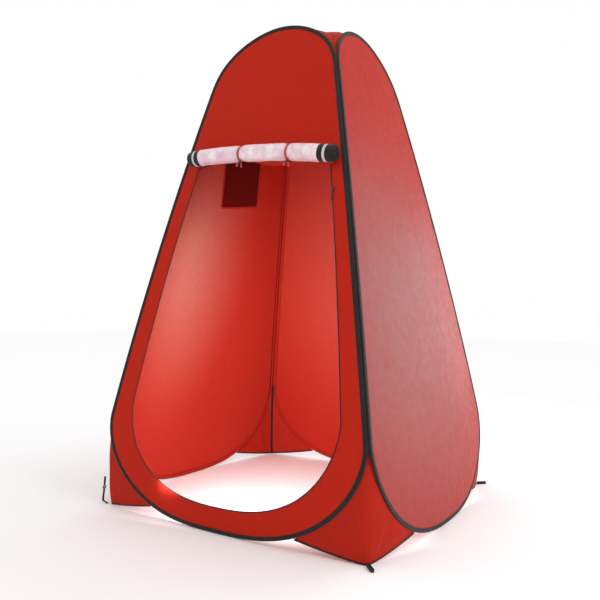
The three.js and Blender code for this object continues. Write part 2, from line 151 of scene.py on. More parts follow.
def side_normals(path, closed):
    """Outward normals of a path in (u, z) that climbs on its right side."""
    if closed:
        run = np.roll(path, -1, 0) - np.roll(path, 1, 0)
    else:
        run = np.gradient(path, axis=0)
    run = unit(run)
    return np.stack([run[:, 1], -run[:, 0]], 1)


class Wall:
    """One wall of the tower: its place, its hoop and how points lie on it."""

    def __init__(self, name, turn, swell, slack=(0, 0)):
        self.name, self.turn, self.swell = name, turn * math.pi / 2, swell
        base = half_outline(HOOP, hoop_half)
        sides = []
        for amount in slack:
            path = base.copy()
            path[:, 0] *= 1 - amount / hoop_half(path[:, 1])
            sides.append(path)
        self.right, self.left = sides
        mirrored = self.left[1:-1][::-1] * (-1, 1)
        self.dense = np.concatenate([self.right, mirrored])

    def hoop(self, count):
        loop = even_loop(self.dense, count)
        return loop, side_normals(loop, True)

    def surface(self, u, z):
        half = corner_half(z)
        depth = half + self.swell * (1 - z / HEIGHT) * (1 - (u / half) ** 2)
        return np.stack([u, -depth, z], -1)

    def place(self, u, z, lift=0.0, side=0, cut=0.0):
        """World points at (u, z), raised by lift along the normal and drawn in from a corner by cut."""
        u, z = np.broadcast_arrays(np.asarray(u, float), np.asarray(z, float))
        step = 0.002
        across = self.surface(u + step, z) - self.surface(u - step, z)
        up = self.surface(u, z + step) - self.surface(u, z - step)
        normal = unit(np.cross(across, up))
        p = self.surface(u, z) + normal * np.asarray(lift)[..., None]
        if side:
            p = p + np.stack([-side * cut, cut, 0 * cut], -1)
        return self.turned(p)

    def turned(self, p):
        c, s = math.cos(self.turn), math.sin(self.turn)
        x, y = p[..., 0], p[..., 1]
        return np.stack([x * c - y * s, x * s + y * c, p[..., 2]], -1)

    def frame_at(self, u, z, lift, along=(0, 1)):
        """Matrix at a point of the wall: Y along the (u, z) direction, Z outwards."""
        here = self.place(u, z, lift)
        ahead = self.place(u + along[0] * 0.004, z + along[1] * 0.004, lift)
        out = Vector(self.place(u, z, lift + 0.01) - here).normalized()
        y = Vector(ahead - here).normalized()
        x = y.cross(out).normalized()
        m = Matrix((x, y, out)).transposed().to_4x4()
        m.translation = Vector(here)
        return m


FRONT = Wall("front", 0, FRONT_SWELL)
RIGHT = Wall("right", 1, SIDE_SWELL, (OPEN_SLACK, 0))
BACK = Wall("back", 2, FRONT_SWELL, (0, OPEN_SLACK))
LEFT = Wall("left", 3, SIDE_SWELL)
WALLS = (FRONT, RIGHT, BACK, LEFT)


def rough(x, y, z, scale, seed):
    """Smooth noise from -1 to 1 at each point."""
    return np.array([noise.noise((a * scale + seed, b * scale - seed, c * scale + 2 * seed))
                     for a, b, c in zip(np.ravel(x), np.ravel(y), np.ravel(z))]).reshape(np.shape(x))


def smooth_step(low, high, x):
    t = np.clip((np.asarray(x, float) - low) / (high - low), 0, 1)
    return t * t * (3 - 2 * t)


# ---- meshes ----
def linked(name, mesh, mats):
    for mat in mats:
        mesh.materials.append(mat)
    mesh.polygons.foreach_set("use_smooth", [True] * len(mesh.polygons))
    obj = bpy.data.objects.new(name, mesh)
    bpy.context.scene.collection.objects.link(obj)
    return obj


def assign(piece, slot, body, *nodes):
    """Attaches a piece to its body and hides the CAD nodes that it stands for; the slot argument is not used.
    """
    if nodes:
        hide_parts(*nodes)
    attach(piece, body)


def new_piece(name, verts, faces, mats, face_mats=None, uv=None, painted_sheen=None):
    mesh = bpy.data.meshes.new(name)
    mesh.from_pydata([tuple(map(float, v)) for v in verts], [], [tuple(map(int, f)) for f in faces])
    if face_mats is not None:
        mesh.polygons.foreach_set("material_index", np.asarray(face_mats, np.int32))
    if uv is not None:
        layer = mesh.uv_layers.new(name="cloth")
        loops = np.zeros(len(mesh.loops), np.int32)
        mesh.loops.foreach_get("vertex_index", loops)
        layer.data.foreach_set("uv", np.asarray(uv, np.float32)[loops].ravel())
    # Per-point share of the painted sheen on cloth.
    if painted_sheen is not None:
        attribute = mesh.attributes.new("painted_sheen", "FLOAT", "POINT")
        attribute.data.foreach_set("value", np.asarray(painted_sheen, np.float32))
    mesh.update()
    return linked(name, mesh, mats)


def settle(obj):
    """Applies the modifiers."""
    graph = bpy.context.evaluated_depsgraph_get()
    result = obj.evaluated_get(graph)
    made = bpy.data.meshes.new_from_object(result, preserve_all_data_layers=True, depsgraph=graph)
    old = obj.data
    obj.modifiers.clear()
    obj.data = made
    bpy.data.meshes.remove(old)
    made.name = obj.name
    return obj


def grid_faces(rows, columns, wrap_rows=False, wrap_columns=False):
    faces = []
    for i in range(rows if wrap_rows else rows - 1):
        for j in range(columns if wrap_columns else columns - 1):
            i2, j2 = (i + 1) % rows, (j + 1) % columns
            faces.append((i * columns + j, i * columns + j2, i2 * columns + j2, i2 * columns + j))
    return faces


def edited(obj, change):
    bm = bmesh.new()
    bm.from_mesh(obj.data)
    change(bm)
    bm.to_mesh(obj.data)
    bm.free()
    return obj


def outwards(obj):
    """Turns a closed mesh's faces outwards."""
    return edited(obj, lambda bm: bmesh.ops.recalc_face_normals(bm, faces=bm.faces))


def sweep(name, sections, closed, mats):
    """A closed tube through sections (n, m, 3), each a closed ring of points."""
    n, m = sections.shape[:2]
    faces = grid_faces(n, m, closed, True)
    if not closed:
        faces.append(tuple(range(m)))
        faces.append(tuple((n - 1) * m + k for k in reversed(range(m))))
    return outwards(new_piece(name, sections.reshape(-1, 3), faces, mats))


def thicken(obj, thickness=CLOTH, inner=1):
    """Gives a cloth surface its thickness; the inner side takes the next material."""
    mod = obj.modifiers.new("thickness", "SOLIDIFY")
    mod.thickness, mod.offset = thickness, 0
    mod.use_even_offset = False
    mod.material_offset = inner
    mod.material_offset_rim = 0
    return settle(obj)


def weld(obj, distance):
    edited(obj, lambda bm: bmesh.ops.remove_doubles(bm, verts=bm.verts, dist=distance))


# ---- materials ----
class Look:
    """A node material: a Principled shader and the few nodes that feed it."""

    def __init__(self, name, colour, roughness, **sockets):
        self.mat = bpy.data.materials.new(name)
        self.mat.use_nodes = True
        self.tree = self.mat.node_tree
        self.shader = self.tree.nodes["Principled BSDF"]
        self.shader.inputs["Base Color"].default_value = (*colour, 1)
        self.shader.inputs["Roughness"].default_value = roughness
        self.mat.diffuse_color = (*colour, 1)
        self.height = None
        for key, value in sockets.items():
            socket = self.shader.inputs[key.replace("_", " ")]
            socket.default_value = (*value, 1) if isinstance(value, tuple) else value

    def node(self, kind, **values):
        made = self.tree.nodes.new(kind)
        for key, value in values.items():
            if key in made.inputs:
                made.inputs[key].default_value = value
            else:
                setattr(made, key, value)
        return made

    def link(self, a, b):
        self.tree.links.new(a, b)

    def place(self, uv=False):
        made = self.node("ShaderNodeTexCoord")
        return made.outputs["UV" if uv else "Object"]

    def noise(self, scale, detail, stretch=None):
        made = self.node("ShaderNodeTexNoise")
        made.inputs["Scale"].default_value = scale
        made.inputs["Detail"].default_value = detail
        source = self.place()
        if stretch:
            mapping = self.node("ShaderNodeMapping")
            mapping.inputs["Scale"].default_value = stretch
            self.link(source, mapping.inputs["Vector"])
            source = mapping.outputs["Vector"]
        self.link(source, made.inputs["Vector"])
        return made.outputs["Fac"]

    def wave(self, scale, direction, uv=False, distortion=0.0):
        made = self.node("ShaderNodeTexWave", wave_type="BANDS", bands_direction=direction)
        made.inputs["Scale"].default_value = scale
        made.inputs["Distortion"].default_value = distortion
        self.link(self.place(uv), made.inputs["Vector"])
        return made.outputs["Fac"]

    def math(self, kind, a, b):
        made = self.node("ShaderNodeMath", operation=kind)
        for socket, value in zip(made.inputs, (a, b)):
            if isinstance(value, (int, float)):
                socket.default_value = value
            else:
                self.link(value, socket)
        return made.outputs[0]

    def ramp(self, value, low, high, to_low=0.0, to_high=1.0):
        made = self.node("ShaderNodeMapRange")
        self.link(value, made.inputs["Value"])
        for key, number in (("From Min", low), ("From Max", high), ("To Min", to_low), ("To Max", to_high)):
            made.inputs[key].default_value = number
        return made.outputs["Result"]

    def mix(self, factor, a, b):
        made = self.node("ShaderNodeMix", data_type="RGBA")
        self.link(factor, made.inputs[0])
        for socket, value in ((made.inputs[6], a), (made.inputs[7], b)):
            if isinstance(value, tuple):
                socket.default_value = (*value, 1)
            else:
                self.link(value, socket)
        return made.outputs[2]

    def paint(self, socket):
        self.link(socket, self.shader.inputs["Base Color"])

    def gloss(self, value, low, high):
        self.link(self.ramp(value, 0.3, 0.7, low, high), self.shader.inputs["Roughness"])

    def bump(self, height, strength, distance):
        made = self.node("ShaderNodeBump")
        made.inputs["Strength"].default_value = strength
        made.inputs["Distance"].default_value = distance
        self.link(height, made.inputs["Height"])
        if self.height is not None:
            self.link(self.height, made.inputs["Normal"])
        self.height = made.outputs["Normal"]
        self.link(self.height, self.shader.inputs["Normal"])


def tone(colour, factor):
    return tuple(min(1.0, c * factor) for c in colour)


def red_cloth(name, colour, painted_sheen_colour, roughness, sheen, painted_sheen_most, specular):
    """Coated polyester taffeta: fine weave, soft crinkles, and a painted sheen, a paler colour in mid panel
    standing in for the broad highlight.
    """
    look = Look(name, colour, roughness, Specular_IOR_Level=specular, Sheen_Weight=sheen,
                Sheen_Roughness=0.45, Sheen_Tint=(1.0, 0.35, 0.3))
    # Painted sheen: a paler colour mixed in by the per-point attribute, in cloudy patches, standing in for a
    # broad highlight.
    attribute = look.node("ShaderNodeAttribute", attribute_name="painted_sheen")
    cloudy = look.noise(2.6, 2.0)
    painted_sheen_patches = look.ramp(cloudy, 0.25, 0.75, 0.8 * painted_sheen_most, painted_sheen_most)
    amount = look.math("MULTIPLY", attribute.outputs["Fac"], painted_sheen_patches)
    base = look.mix(amount, colour, painted_sheen_colour)
    mottle = look.noise(38.0, 4.0)
    darker = look.mix(look.ramp(mottle, 0.3, 0.75, 0.0, 0.16), base, tone(colour, 0.72))
    threads = look.math("MULTIPLY", look.wave(330.0, "X", True), look.wave(330.0, "Y", True))
    look.paint(look.mix(look.ramp(threads, 0.0, 1.0, 0.12, 0.0), darker, tone(colour, 0.55)))
    look.gloss(mottle, roughness - 0.05, roughness + 0.07)
    look.bump(threads, 0.10, 0.0004)
    look.bump(look.noise(22.0, 3.0, stretch=(1, 1, 0.6)), 0.28, 0.0022)
    look.bump(look.noise(95.0, 2.0), 0.12, 0.0008)
    return look.mat


def tape(name, colour, rib, roughness=0.78):
    """Narrow woven tape with fine ribs, a little dusty."""
    look = Look(name, colour, roughness, Specular_IOR_Level=0.3, Sheen_Weight=0.12, Sheen_Roughness=0.5)
    ribs = look.math("MULTIPLY", look.wave(rib, "DIAGONAL"), look.wave(rib * 0.7, "Z", distortion=0.6))
    dusty = look.noise(55.0, 4.0)
    worn = look.mix(look.ramp(dusty, 0.45, 0.8, 0.0, 0.5), colour, tone(colour, 2.6))
    look.paint(look.mix(look.ramp(ribs, 0.0, 1.0, 0.5, 0.0), worn, tone(colour, 0.4)))
    look.gloss(dusty, roughness - 0.08, roughness + 0.1)
    look.bump(ribs, 0.5, 0.0006)
    return look.mat


def silver_cloth():
    look = Look("silver_coated_cloth", (0.78, 0.66, 0.70), 0.36, Specular_IOR_Level=0.3, Metallic=0.1,
                Coat_Weight=0.12, Coat_Roughness=0.3)
    cells = look.node("ShaderNodeTexVoronoi", feature="DISTANCE_TO_EDGE")
    cells.inputs["Scale"].default_value = 26.0
    look.link(look.place(), cells.inputs["Vector"])
    # Crease lines: they drive the crease bump, and their dark pinkish colour is painted shade in the creases.
    creases_and_crease_shade = look.ramp(cells.outputs["Distance"], 0.0, 0.22)
    cloud = look.noise(16.0, 5.0)
    # Pink patches over the silver: painted reflection of the red cloth around it.
    painted_pink_reflection = look.mix(look.ramp(cloud, 0.35, 0.7), (0.86, 0.76, 0.78), (0.74, 0.50, 0.58))
    look.paint(look.mix(look.ramp(creases_and_crease_shade, 0.0, 1.0, 0.22, 0.0), painted_pink_reflection, (0.42, 0.22, 0.28)))
    look.gloss(cloud, 0.28, 0.45)
    look.bump(creases_and_crease_shade, 0.30, 0.0014)
    look.bump(look.noise(60.0, 5.0), 0.45, 0.0016)
    look.bump(look.noise(320.0, 2.0), 0.12, 0.0004)
    return look.mat


def plastic():
    look = Look("black_plastic", (0.016, 0.015, 0.016), 0.42, Specular_IOR_Level=0.5)
    grain = look.noise(700.0, 3.0)
    scuff = look.noise(60.0, 4.0)
    look.paint(look.mix(look.ramp(scuff, 0.5, 0.8, 0.0, 0.6), (0.016, 0.015, 0.016), (0.05, 0.048, 0.05)))
    look.gloss(scuff, 0.36, 0.55)
    look.bump(grain, 0.15, 0.0002)
    return look.mat


def steel():
    look = Look("hoop_wire", (0.36, 0.37, 0.39), 0.35, Metallic=1.0)
    drawn = look.noise(180.0, 3.0, stretch=(1, 1, 0.1))
    look.paint(look.mix(look.ramp(drawn, 0.4, 0.8), (0.40, 0.41, 0.43), (0.22, 0.21, 0.20)))
    look.gloss(drawn, 0.28, 0.48)
    look.bump(drawn, 0.1, 0.0002)
    return look.mat


def netting():
    look = Look("dark_netting", (0.12, 0.005, 0.003), 0.8, Specular_IOR_Level=0.1, Sheen_Weight=0.02)
    mottle = look.noise(120.0, 3.0)
    look.paint(look.mix(mottle, (0.13, 0.002, 0.001), (0.19, 0.005, 0.002)))
    look.gloss(mottle, 0.7, 0.9)
    look.bump(look.noise(1500.0, 2.0), 0.3, 0.0002)
    return look.mat


def ribbon():
    look = Look("red_tie", (0.42, 0.045, 0.045), 0.55, Specular_IOR_Level=0.3, Sheen_Weight=0.3)
    ribs = look.wave(420.0, "DIAGONAL")
    mottle = look.noise(80.0, 3.0)
    look.paint(look.mix(look.ramp(ribs, 0.0, 1.0, 0.3, 0.0), (0.47, 0.055, 0.055), (0.24, 0.02, 0.02)))
    look.gloss(mottle, 0.5, 0.68)
    look.bump(ribs, 0.4, 0.0004)
    return look.mat


def floor_look():
    look = Look("pale_floor", (0.97, 0.97, 0.97), 0.85, Specular_IOR_Level=0.1)
    soft = look.noise(3.0, 3.0)
    look.paint(look.mix(soft, (0.985, 0.985, 0.985), (0.955, 0.955, 0.96)))
    look.gloss(soft, 0.8, 0.9)
    look.bump(look.noise(90.0, 3.0), 0.03, 0.0008)
    return look.mat


# The front wall's cloth is a darker copy of the same red: painted shade, for the front facing away from the
# light.
RED_SHADED_FRONT = red_cloth("red_taffeta_shaded_front", (0.262, 0.0085, 0.003), (0.36, 0.03, 0.02), 0.5, 0.015, 0.5, 0.02)
# Side walls: the same red, with the strongest painted sheen.
RED_SIDE = red_cloth("red_taffeta_side", (0.42, 0.022, 0.013), (0.34, 0.155, 0.155), 0.5, 0.02, 1.0, 0.05)
# Inner side: a lighter copy of the same red, painted light inside the tent, with the painted sheen too.
RED_IN_LIT = red_cloth("red_taffeta_inner_lit", (0.47, 0.020, 0.009), (0.44, 0.15, 0.12), 0.55, 0.02, 1.0, 0.03)
RED_CORNER = red_cloth("red_taffeta_gusset", (0.42, 0.018, 0.009), (0.45, 0.03, 0.02), 0.55, 0.015, 0.5, 0.04)
RED_CORNER_IN = red_cloth("red_taffeta_gusset_inner", (0.42, 0.022, 0.012), (0.4, 0.03, 0.02),
                          0.6, 0.015, 0.5, 0.03)
TAPE = tape("black_binding", (0.011, 0.006, 0.005), 900.0)
WEBBING = tape("black_webbing", (0.010, 0.010, 0.011), 520.0, 0.82)
THREAD = tape("seam_thread", (0.06, 0.012, 0.010), 2500.0, 0.6)
SILVER = silver_cloth()
WHITE_TAPE = tape("white_piping", (0.72, 0.68, 0.70), 900.0, 0.6)
RIBBON = ribbon()
STEEL = steel()
DARK_NET_AND_FLAP_SHADE = netting()
PLASTIC = plastic()
FLOOR = floor_look()


# ---- flat cuts and how they lie on a wall ----
def outline_cut(wall, inset, columns, rows, low_z=0.10, high_z=1.80):
    """A grid over the hoop's inside, as a patch of four curved sides, in (u, z)."""
    def inside(path):
        return path + side_normals(path, False) * -inset

    right = inside(wall.right)
    left = inside(wall.left) * (-1, 1)

    def cut(path, z):
        return int(np.searchsorted(path[:, 1], z))

    rl, rh, ll, lh = cut(right, low_z), cut(right, high_z), cut(left, low_z), cut(left, high_z)
    bottom = even(np.concatenate([left[:ll + 1][::-1], right[:rl + 1]]), columns)
    top = even(np.concatenate([left[lh:], right[rh:][::-1]]), columns)
    side_right, side_left = even(right[rl:rh + 1], rows), even(left[ll:lh + 1], rows)
    s = np.linspace(0, 1, columns)[None, :, None]
    t = np.linspace(0, 1, rows)[:, None, None]
    sides = (1 - s) * side_left[:, None] + s * side_right[:, None]
    ends = (1 - t) * bottom[None] + t * top[None]
    low = (1 - s) * (1 - t) * bottom[0] + s * (1 - t) * bottom[-1]
    corners = (low + (1 - s) * t * top[0] + s * t * top[-1])
    return (sides + ends - corners).reshape(-1, 2), grid_faces(rows, columns)


def ring_cut(wall, inset, rows, columns):
    """A grid between the hoop and the doorway, in (u, z)."""
    doorway = half_outline(DOOR, door_half)
    pairs = []
    for side in (1, -1):
        outer, inner = even(wall.right, rows), even(doorway, rows)
        outer = outer - side_normals(outer, False) * inset
        inner = inner + side_normals(inner, False) * 0.0010
        pairs.append((outer * (side, 1), inner * (side, 1)))
    outer = np.concatenate([pairs[0][0], pairs[1][0][1:-1][::-1]])
    inner = np.concatenate([pairs[0][1], pairs[1][1][1:-1][::-1]]) + (DOOR_SHIFT, 0)
    w = np.linspace(0, 1, columns)[None, :, None]
    grid = outer[:, None] * (1 - w) + inner[:, None] * w
    return grid.reshape(-1, 2), grid_faces(len(outer), columns, True)


def nearest(points, path):
    """Distance from each point to a path, and how far along it that is."""
    run = np.r_[0, np.cumsum(np.linalg.norm(np.diff(path, axis=0), axis=1))]
    index = np.concatenate([
        np.argmin(((block[:, None] - path[None]) ** 2).sum(2), 1) for block in np.array_split(points, 40)])
    return np.linalg.norm(points - path[index], axis=1), run[index]


def relief(points, edges, seed, billow=0.0035, pucker=0.0012):
    """How far the cloth stands off its wall: wide slack waves, and puckers along its seams."""
    u, z = points[:, 0], points[:, 1]
    lift = np.zeros(len(points))
    calm = np.ones(len(points))
    for path in edges:
        away, along = nearest(points, path)
        wave = rough(along, along * 0, along * 0, 26.0, seed)
        fine = rough(along, along * 0, along * 0, 70.0, seed + 3)
        lift += pucker * np.exp(-away / 0.035) * (wave + 0.5 * fine) * smooth_step(0.0, 0.008, away)
        calm *= smooth_step(0.0, 0.10, away)
    lift += calm * billow * rough(u, z * 0.6, u * 0, 3.2, seed)
    lift += calm * billow * 0.35 * rough(u, z, u * 0, 9.0, seed + 5)
    return lift


def cut_hole(bm, sides):
    """Cuts out what lies inside all sides, each a point and an outward direction."""
    for co, no in sides:
        geom = bm.verts[:] + bm.edges[:] + bm.faces[:]
        bmesh.ops.bisect_plane(bm, geom=geom, plane_co=(*co, 0), plane_no=(*no, 0), dist=1e-5)
    inside = [face for face in bm.faces if all(
        (face.calc_center_median().xy - Vector(co)).dot(Vector(no)) < 0 for co, no in sides)]
    bmesh.ops.delete(bm, geom=inside, context="FACES")


def cloth_piece(name, wall, points, faces, mats, lift, painted_sheen, cuts=()):
    """Cloth lying on a wall: faces in (u, z), cut along lines and holes, then raised and thickened."""
    obj = new_piece(name, np.c_[points, lift], faces, mats, uv=points, painted_sheen=painted_sheen)
    if cuts:
        edited(obj, lambda bm: cut_hole(bm, cuts))
    co = np.array([v.co for v in obj.data.vertices])
    placed = wall.place(co[:, 0], co[:, 1], co[:, 2])
    obj.data.vertices.foreach_set("co", placed.astype(np.float32).ravel())
    obj.data.update()
    return thicken(obj)


def painted_sheen_amount(points, most, centre_u, spread_u, centre_z, above, below, rest):
    """Share of painted sheen at each point: strongest in a panel's middle, falling off to its sides and ends.
    """
    u, z = points[:, 0], points[:, 1]
    tall = np.where(z > centre_z, above, below)
    wide = np.exp(-((u - centre_u) / spread_u) ** 2)
    middle = np.exp(-((z - centre_z) / tall) ** 2) * wide
    return most * np.maximum(rest * smooth_step(1.5, 1.2, z), middle)


# Each wall's painted sheen: strongest value, middle and spread across, middle, spread above and below it,
# least value.
PAINTED_SHEEN = {
    "right": (1.0, -0.22, 0.66, 0.80, 0.50, 0.72, 0.22),
    "back": (0.4, -0.05, 0.5, 0.9, 0.7, 0.6, 0.0),
    "left": (1.0, 0.22, 0.30, 0.98, 0.45, 0.50, 0.10),
}


EDGE_POINTS = 700


def build_walls():
    tuck = 0.0022
    made = {}
    for wall, seed in ((RIGHT, 1.7), (BACK, 5.3), (LEFT, 9.1)):
        points, faces = outline_cut(wall, tuck, 64, 120)
        lift = relief(points, [closed_path(wall.hoop(EDGE_POINTS)[0])], seed)
        cuts = sash_sides() if wall is LEFT else ()
        painted_sheen = painted_sheen_amount(points, *PAINTED_SHEEN[wall.name])
        mats = (RED_SIDE, RED_IN_LIT)
        made[wall.name] = cloth_piece(f"cloth_{wall.name}", wall, points, faces, mats, lift, painted_sheen, cuts)
    points, faces = ring_cut(FRONT, tuck, 170, 34)
    edges = [closed_path(FRONT.hoop(EDGE_POINTS)[0]), closed_path(door_loop(500)[0])]
    lift = relief(points, edges, 3.3, 0.003, 0.0010)
    no_painted_sheen = np.zeros(len(points))
    made["front"] = cloth_piece("cloth_front", FRONT, points, faces, (RED_SHADED_FRONT, RED_IN_LIT), lift, no_painted_sheen)
    return made


def door_loop(count):
    right = half_outline(DOOR, door_half)
    loop = even_loop(np.concatenate([right, right[1:-1][::-1] * (-1, 1)]), count)
    return loop + (DOOR_SHIFT, 0), side_normals(loop, True)


def carried(wall, loop, normals, profile):
    """A profile of (off, lift) pairs carried round a loop on a wall."""
    off, lift = np.array(profile).T
    u = loop[:, :1] + normals[:, :1] * off
    z = loop[:, 1:] + normals[:, 1:] * off
    return wall.place(u, z, np.broadcast_to(lift, u.shape))


# One stitch: a pointed bead in (along, across, up) shares of its length, width and height.
STITCH = [
    (-0.5, 0, 0), (-0.3, -0.5, 0), (-0.3, 0.5, 0), (-0.3, 0, 1), (0.3, -0.5, 0),
    (0.3, 0.5, 0), (0.3, 0, 1), (0.5, 0, 0), (-0.3, 0, -0.6), (0.3, 0, -0.6),
]
STITCH_FACES = [
    (0, 1, 3), (0, 3, 2), (0, 2, 8), (0, 8, 1), (1, 4, 6, 3), (3, 6, 5, 2),
    (2, 5, 9, 8), (8, 9, 4, 1), (4, 7, 6), (6, 7, 5), (5, 7, 9), (9, 7, 4),
]


def stitches(name, wall, loop, normals, off, lift, step, mat, long=0.0034, wide=0.0007, tall=0.0005):
    """A row of raised thread stitches along a loop."""
    count = int(np.linalg.norm(np.diff(closed_path(loop), axis=0), axis=1).sum() / step)
    path = even_loop(loop + normals * off, count)
    run = unit(np.roll(path, -1, 0) - np.roll(path, 1, 0))
    side = np.stack([run[:, 1], -run[:, 0]], 1)
    a, b, c = np.array(STITCH).T
    u = path[:, :1] + run[:, :1] * a * long + side[:, :1] * b * wide
    z = path[:, 1:] + run[:, 1:] * a * long + side[:, 1:] * b * wide
    height = np.broadcast_to(lift + math.copysign(1, lift) * c * tall, u.shape)
    verts = wall.place(u, z, height).reshape(-1, 3)
    n = len(STITCH)
    faces = [tuple(i * n + k for k in f) for i in range(count) for f in STITCH_FACES]
    return outwards(new_piece(name, verts, faces, (mat,)))


# Sections round a wall's loops, as (off, lift): outwards from the loop, and out from the cloth.
PIPING = [
    (-0.0094, 0.0006), (-0.0094, 0.0012), (-0.0070, 0.0014), (-0.0038, 0.0018), (-0.0014, 0.0030),
    (0.0008, 0.0037), (0.0032, 0.0037), (0.0050, 0.0025), (0.0062, 0.0), (0.0050, -0.0025),
    (0.0032, -0.0037), (0.0008, -0.0037), (-0.0014, -0.0026), (-0.0040, -0.0012), (-0.0040, -0.0005),
    (-0.0022, -0.0006), (-0.0004, -0.0018), (0.0020, -0.0029), (0.0042, -0.0014), (0.0052, 0.0),
    (0.0042, 0.0014), (0.0020, 0.0029), (-0.0004, 0.0018), (-0.0022, 0.0008), (-0.0060, 0.0007),
]
FACING = [
    (-0.0095, -0.0042), (-0.0095, -0.0050), (-0.003, -0.0056),
    (0.0045, -0.0056), (0.0045, -0.0048), (-0.003, -0.0048),
]


def build_hoops():
    """Black piping round each hoop, its stitching, and a red facing behind it."""
    for wall, seed in zip(WALLS, (2.1, 4.7, 6.3, 8.9)):
        loop, normals = wall.hoop(620)
        along = np.arange(len(loop)) * 0.0085
        bow = 0.0004 * rough(along, along * 0, along * 0, 6.0, seed + 1)
        wobbly = loop + normals * bow[:, None]
        piece = sweep(f"piping_{wall.name}", carried(wall, wobbly, normals, PIPING), True, (TAPE,))
        assign(piece, "black_binding", wall.name, f"sleeve_{wall.name}")
        seam = stitches(f"stitching_{wall.name}", wall, loop, normals, -0.0078, 0.0014, 0.0066, THREAD)
        assign(seam, "black_binding", wall.name)
        facing = sweep(f"facing_{wall.name}", carried(wall, loop, normals, FACING), True, (RED_CORNER_IN,))
        assign(facing, "red_cloth", wall.name)


# ---- corner gussets ----
HEM_HEIGHT, HEM_JOIN, HEM_RISE, HEM_POWER = 0.007, 0.321, 0.036, 1.3
TIP = float(corner_half(0.0))      # the corner's place on the ground
ARC_SPLIT = 0.42                   # share of a gusset's rows that end on the corner line
ARC_TOP = 0.352
ROUNDING = 0.024
CLEAR_OF_HOOP = 0.0035


def hem_height(u):
    share = np.clip((TIP - u) / (TIP - HEM_JOIN), 0, 1)
    return HEM_RISE * share ** HEM_POWER


def rounding(w, z):
    """How far the cloth cuts the corner inwards at distance w from the corner line."""
    r = ROUNDING * (0.35 + 0.65 * smooth_step(0.0, 0.15, z))
    return (np.sqrt(w * w + r * r) - w) / 2


def gusset_half(wall, side, rows, columns, seed):
    """Half a gusset, from the hoop's arc to the corner line and the hem: grids of points and of (u, z)."""
    path = wall.right if side > 0 else wall.left
    keep = (path[:, 1] <= ARC_TOP) & (path[:, 0] >= HEM_JOIN)
    arc = path[keep]
    arc = even((arc + side_normals(arc, False) * CLEAR_OF_HOOP)[::-1], rows)
    tip_row = int(rows * ARC_SPLIT)
    low = HEM_HEIGHT * 0.5
    z_line = arc[0, 1] + (low - arc[0, 1]) * np.linspace(0, 1, tip_row + 1)
    share = np.linspace(0, 1, rows - tip_row)[1:]
    hem_u = TIP + (HEM_JOIN - TIP) * share
    corner_line = np.stack([corner_half(z_line), z_line], 1)
    outer = np.concatenate([corner_line, np.stack([hem_u, hem_height(hem_u) + low], 1)])
    s = np.linspace(0, 1, columns)[None, :, None]
    flat = arc[:, None] * (1 - s) + outer[:, None] * s
    u, z = flat[..., 0], flat[..., 1]
    w = np.maximum(0, corner_half(z) - u)
    cut = rounding(w, z)
    down, from_arc = np.meshgrid(np.linspace(0, 1.3, rows), np.linspace(0, 1, columns), indexing="ij")
    tug = 0.0016 * rough(down, from_arc * 0.15, u * 0, 17.0, seed)
    tug *= np.sin(np.pi * from_arc) * smooth_step(0, 0.05, w)
    spread = np.arctan2(z + 0.02, w + 0.004)
    folds = 0.0022 * np.sin(spread * 9 + seed) * smooth_step(0.02, 0.10, w) * (1 - from_arc) * from_arc * 4
    lift = tug + folds * smooth_step(0.0, 0.06, z)
    points = wall.place(side * u, z, lift, side, cut)
    return points, np.stack([side * u, z], -1)


def gusset(name, halves, seed):
    rows, columns = 84, 26
    verts, faces, uvs = [], [], []
    for k, (wall, side) in enumerate(halves):
        points, flat = gusset_half(wall, side, rows, columns, seed + k)
        start = sum(len(v) for v in verts)
        grid = grid_faces(rows, columns)
        if side > 0:
            grid = [f[::-1] for f in grid]
        faces += [tuple(start + i for i in f) for f in grid]
        verts.append(points.reshape(-1, 3))
        flat = flat.reshape(-1, 2)
        if len(halves) > 1:
            flat = flat - (side * TIP, 0)
        uvs.append(flat)
    verts, uvs = np.concatenate(verts), np.concatenate(uvs)
    obj = new_piece(name, verts, faces, (RED_CORNER, RED_CORNER_IN), uv=uvs, painted_sheen=np.zeros(len(verts)))
    if len(halves) > 1:
        weld(obj, 0.0004)
    return thicken(obj)


def hem(name, halves):
    """Black tape folded round a gusset's lower edge, through the corner where there are two halves."""
    rings = []
    for k, (wall, side) in enumerate(halves):
        u = np.linspace(TIP, HEM_JOIN - 0.004, 70)
        u = u[::-1] if k == 0 else u[1:]
        profile = [(0.0006, -0.0013), (0.0, 0.0), (0.0006, 0.0013),
                   (HEM_HEIGHT, 0.0012), (HEM_HEIGHT + 0.0006, 0.0), (HEM_HEIGHT, -0.0012)]
        dz, lift = np.array(profile).T
        z = hem_height(u)[:, None] + dz
        uu = np.broadcast_to(u[:, None], z.shape)
        w = np.maximum(0, corner_half(z) - uu)
        cut = rounding(w, z)
        rings.append(wall.place(side * uu, z, np.broadcast_to(lift, z.shape), side, cut))
    return sweep(name, np.concatenate(rings), False, (TAPE,))


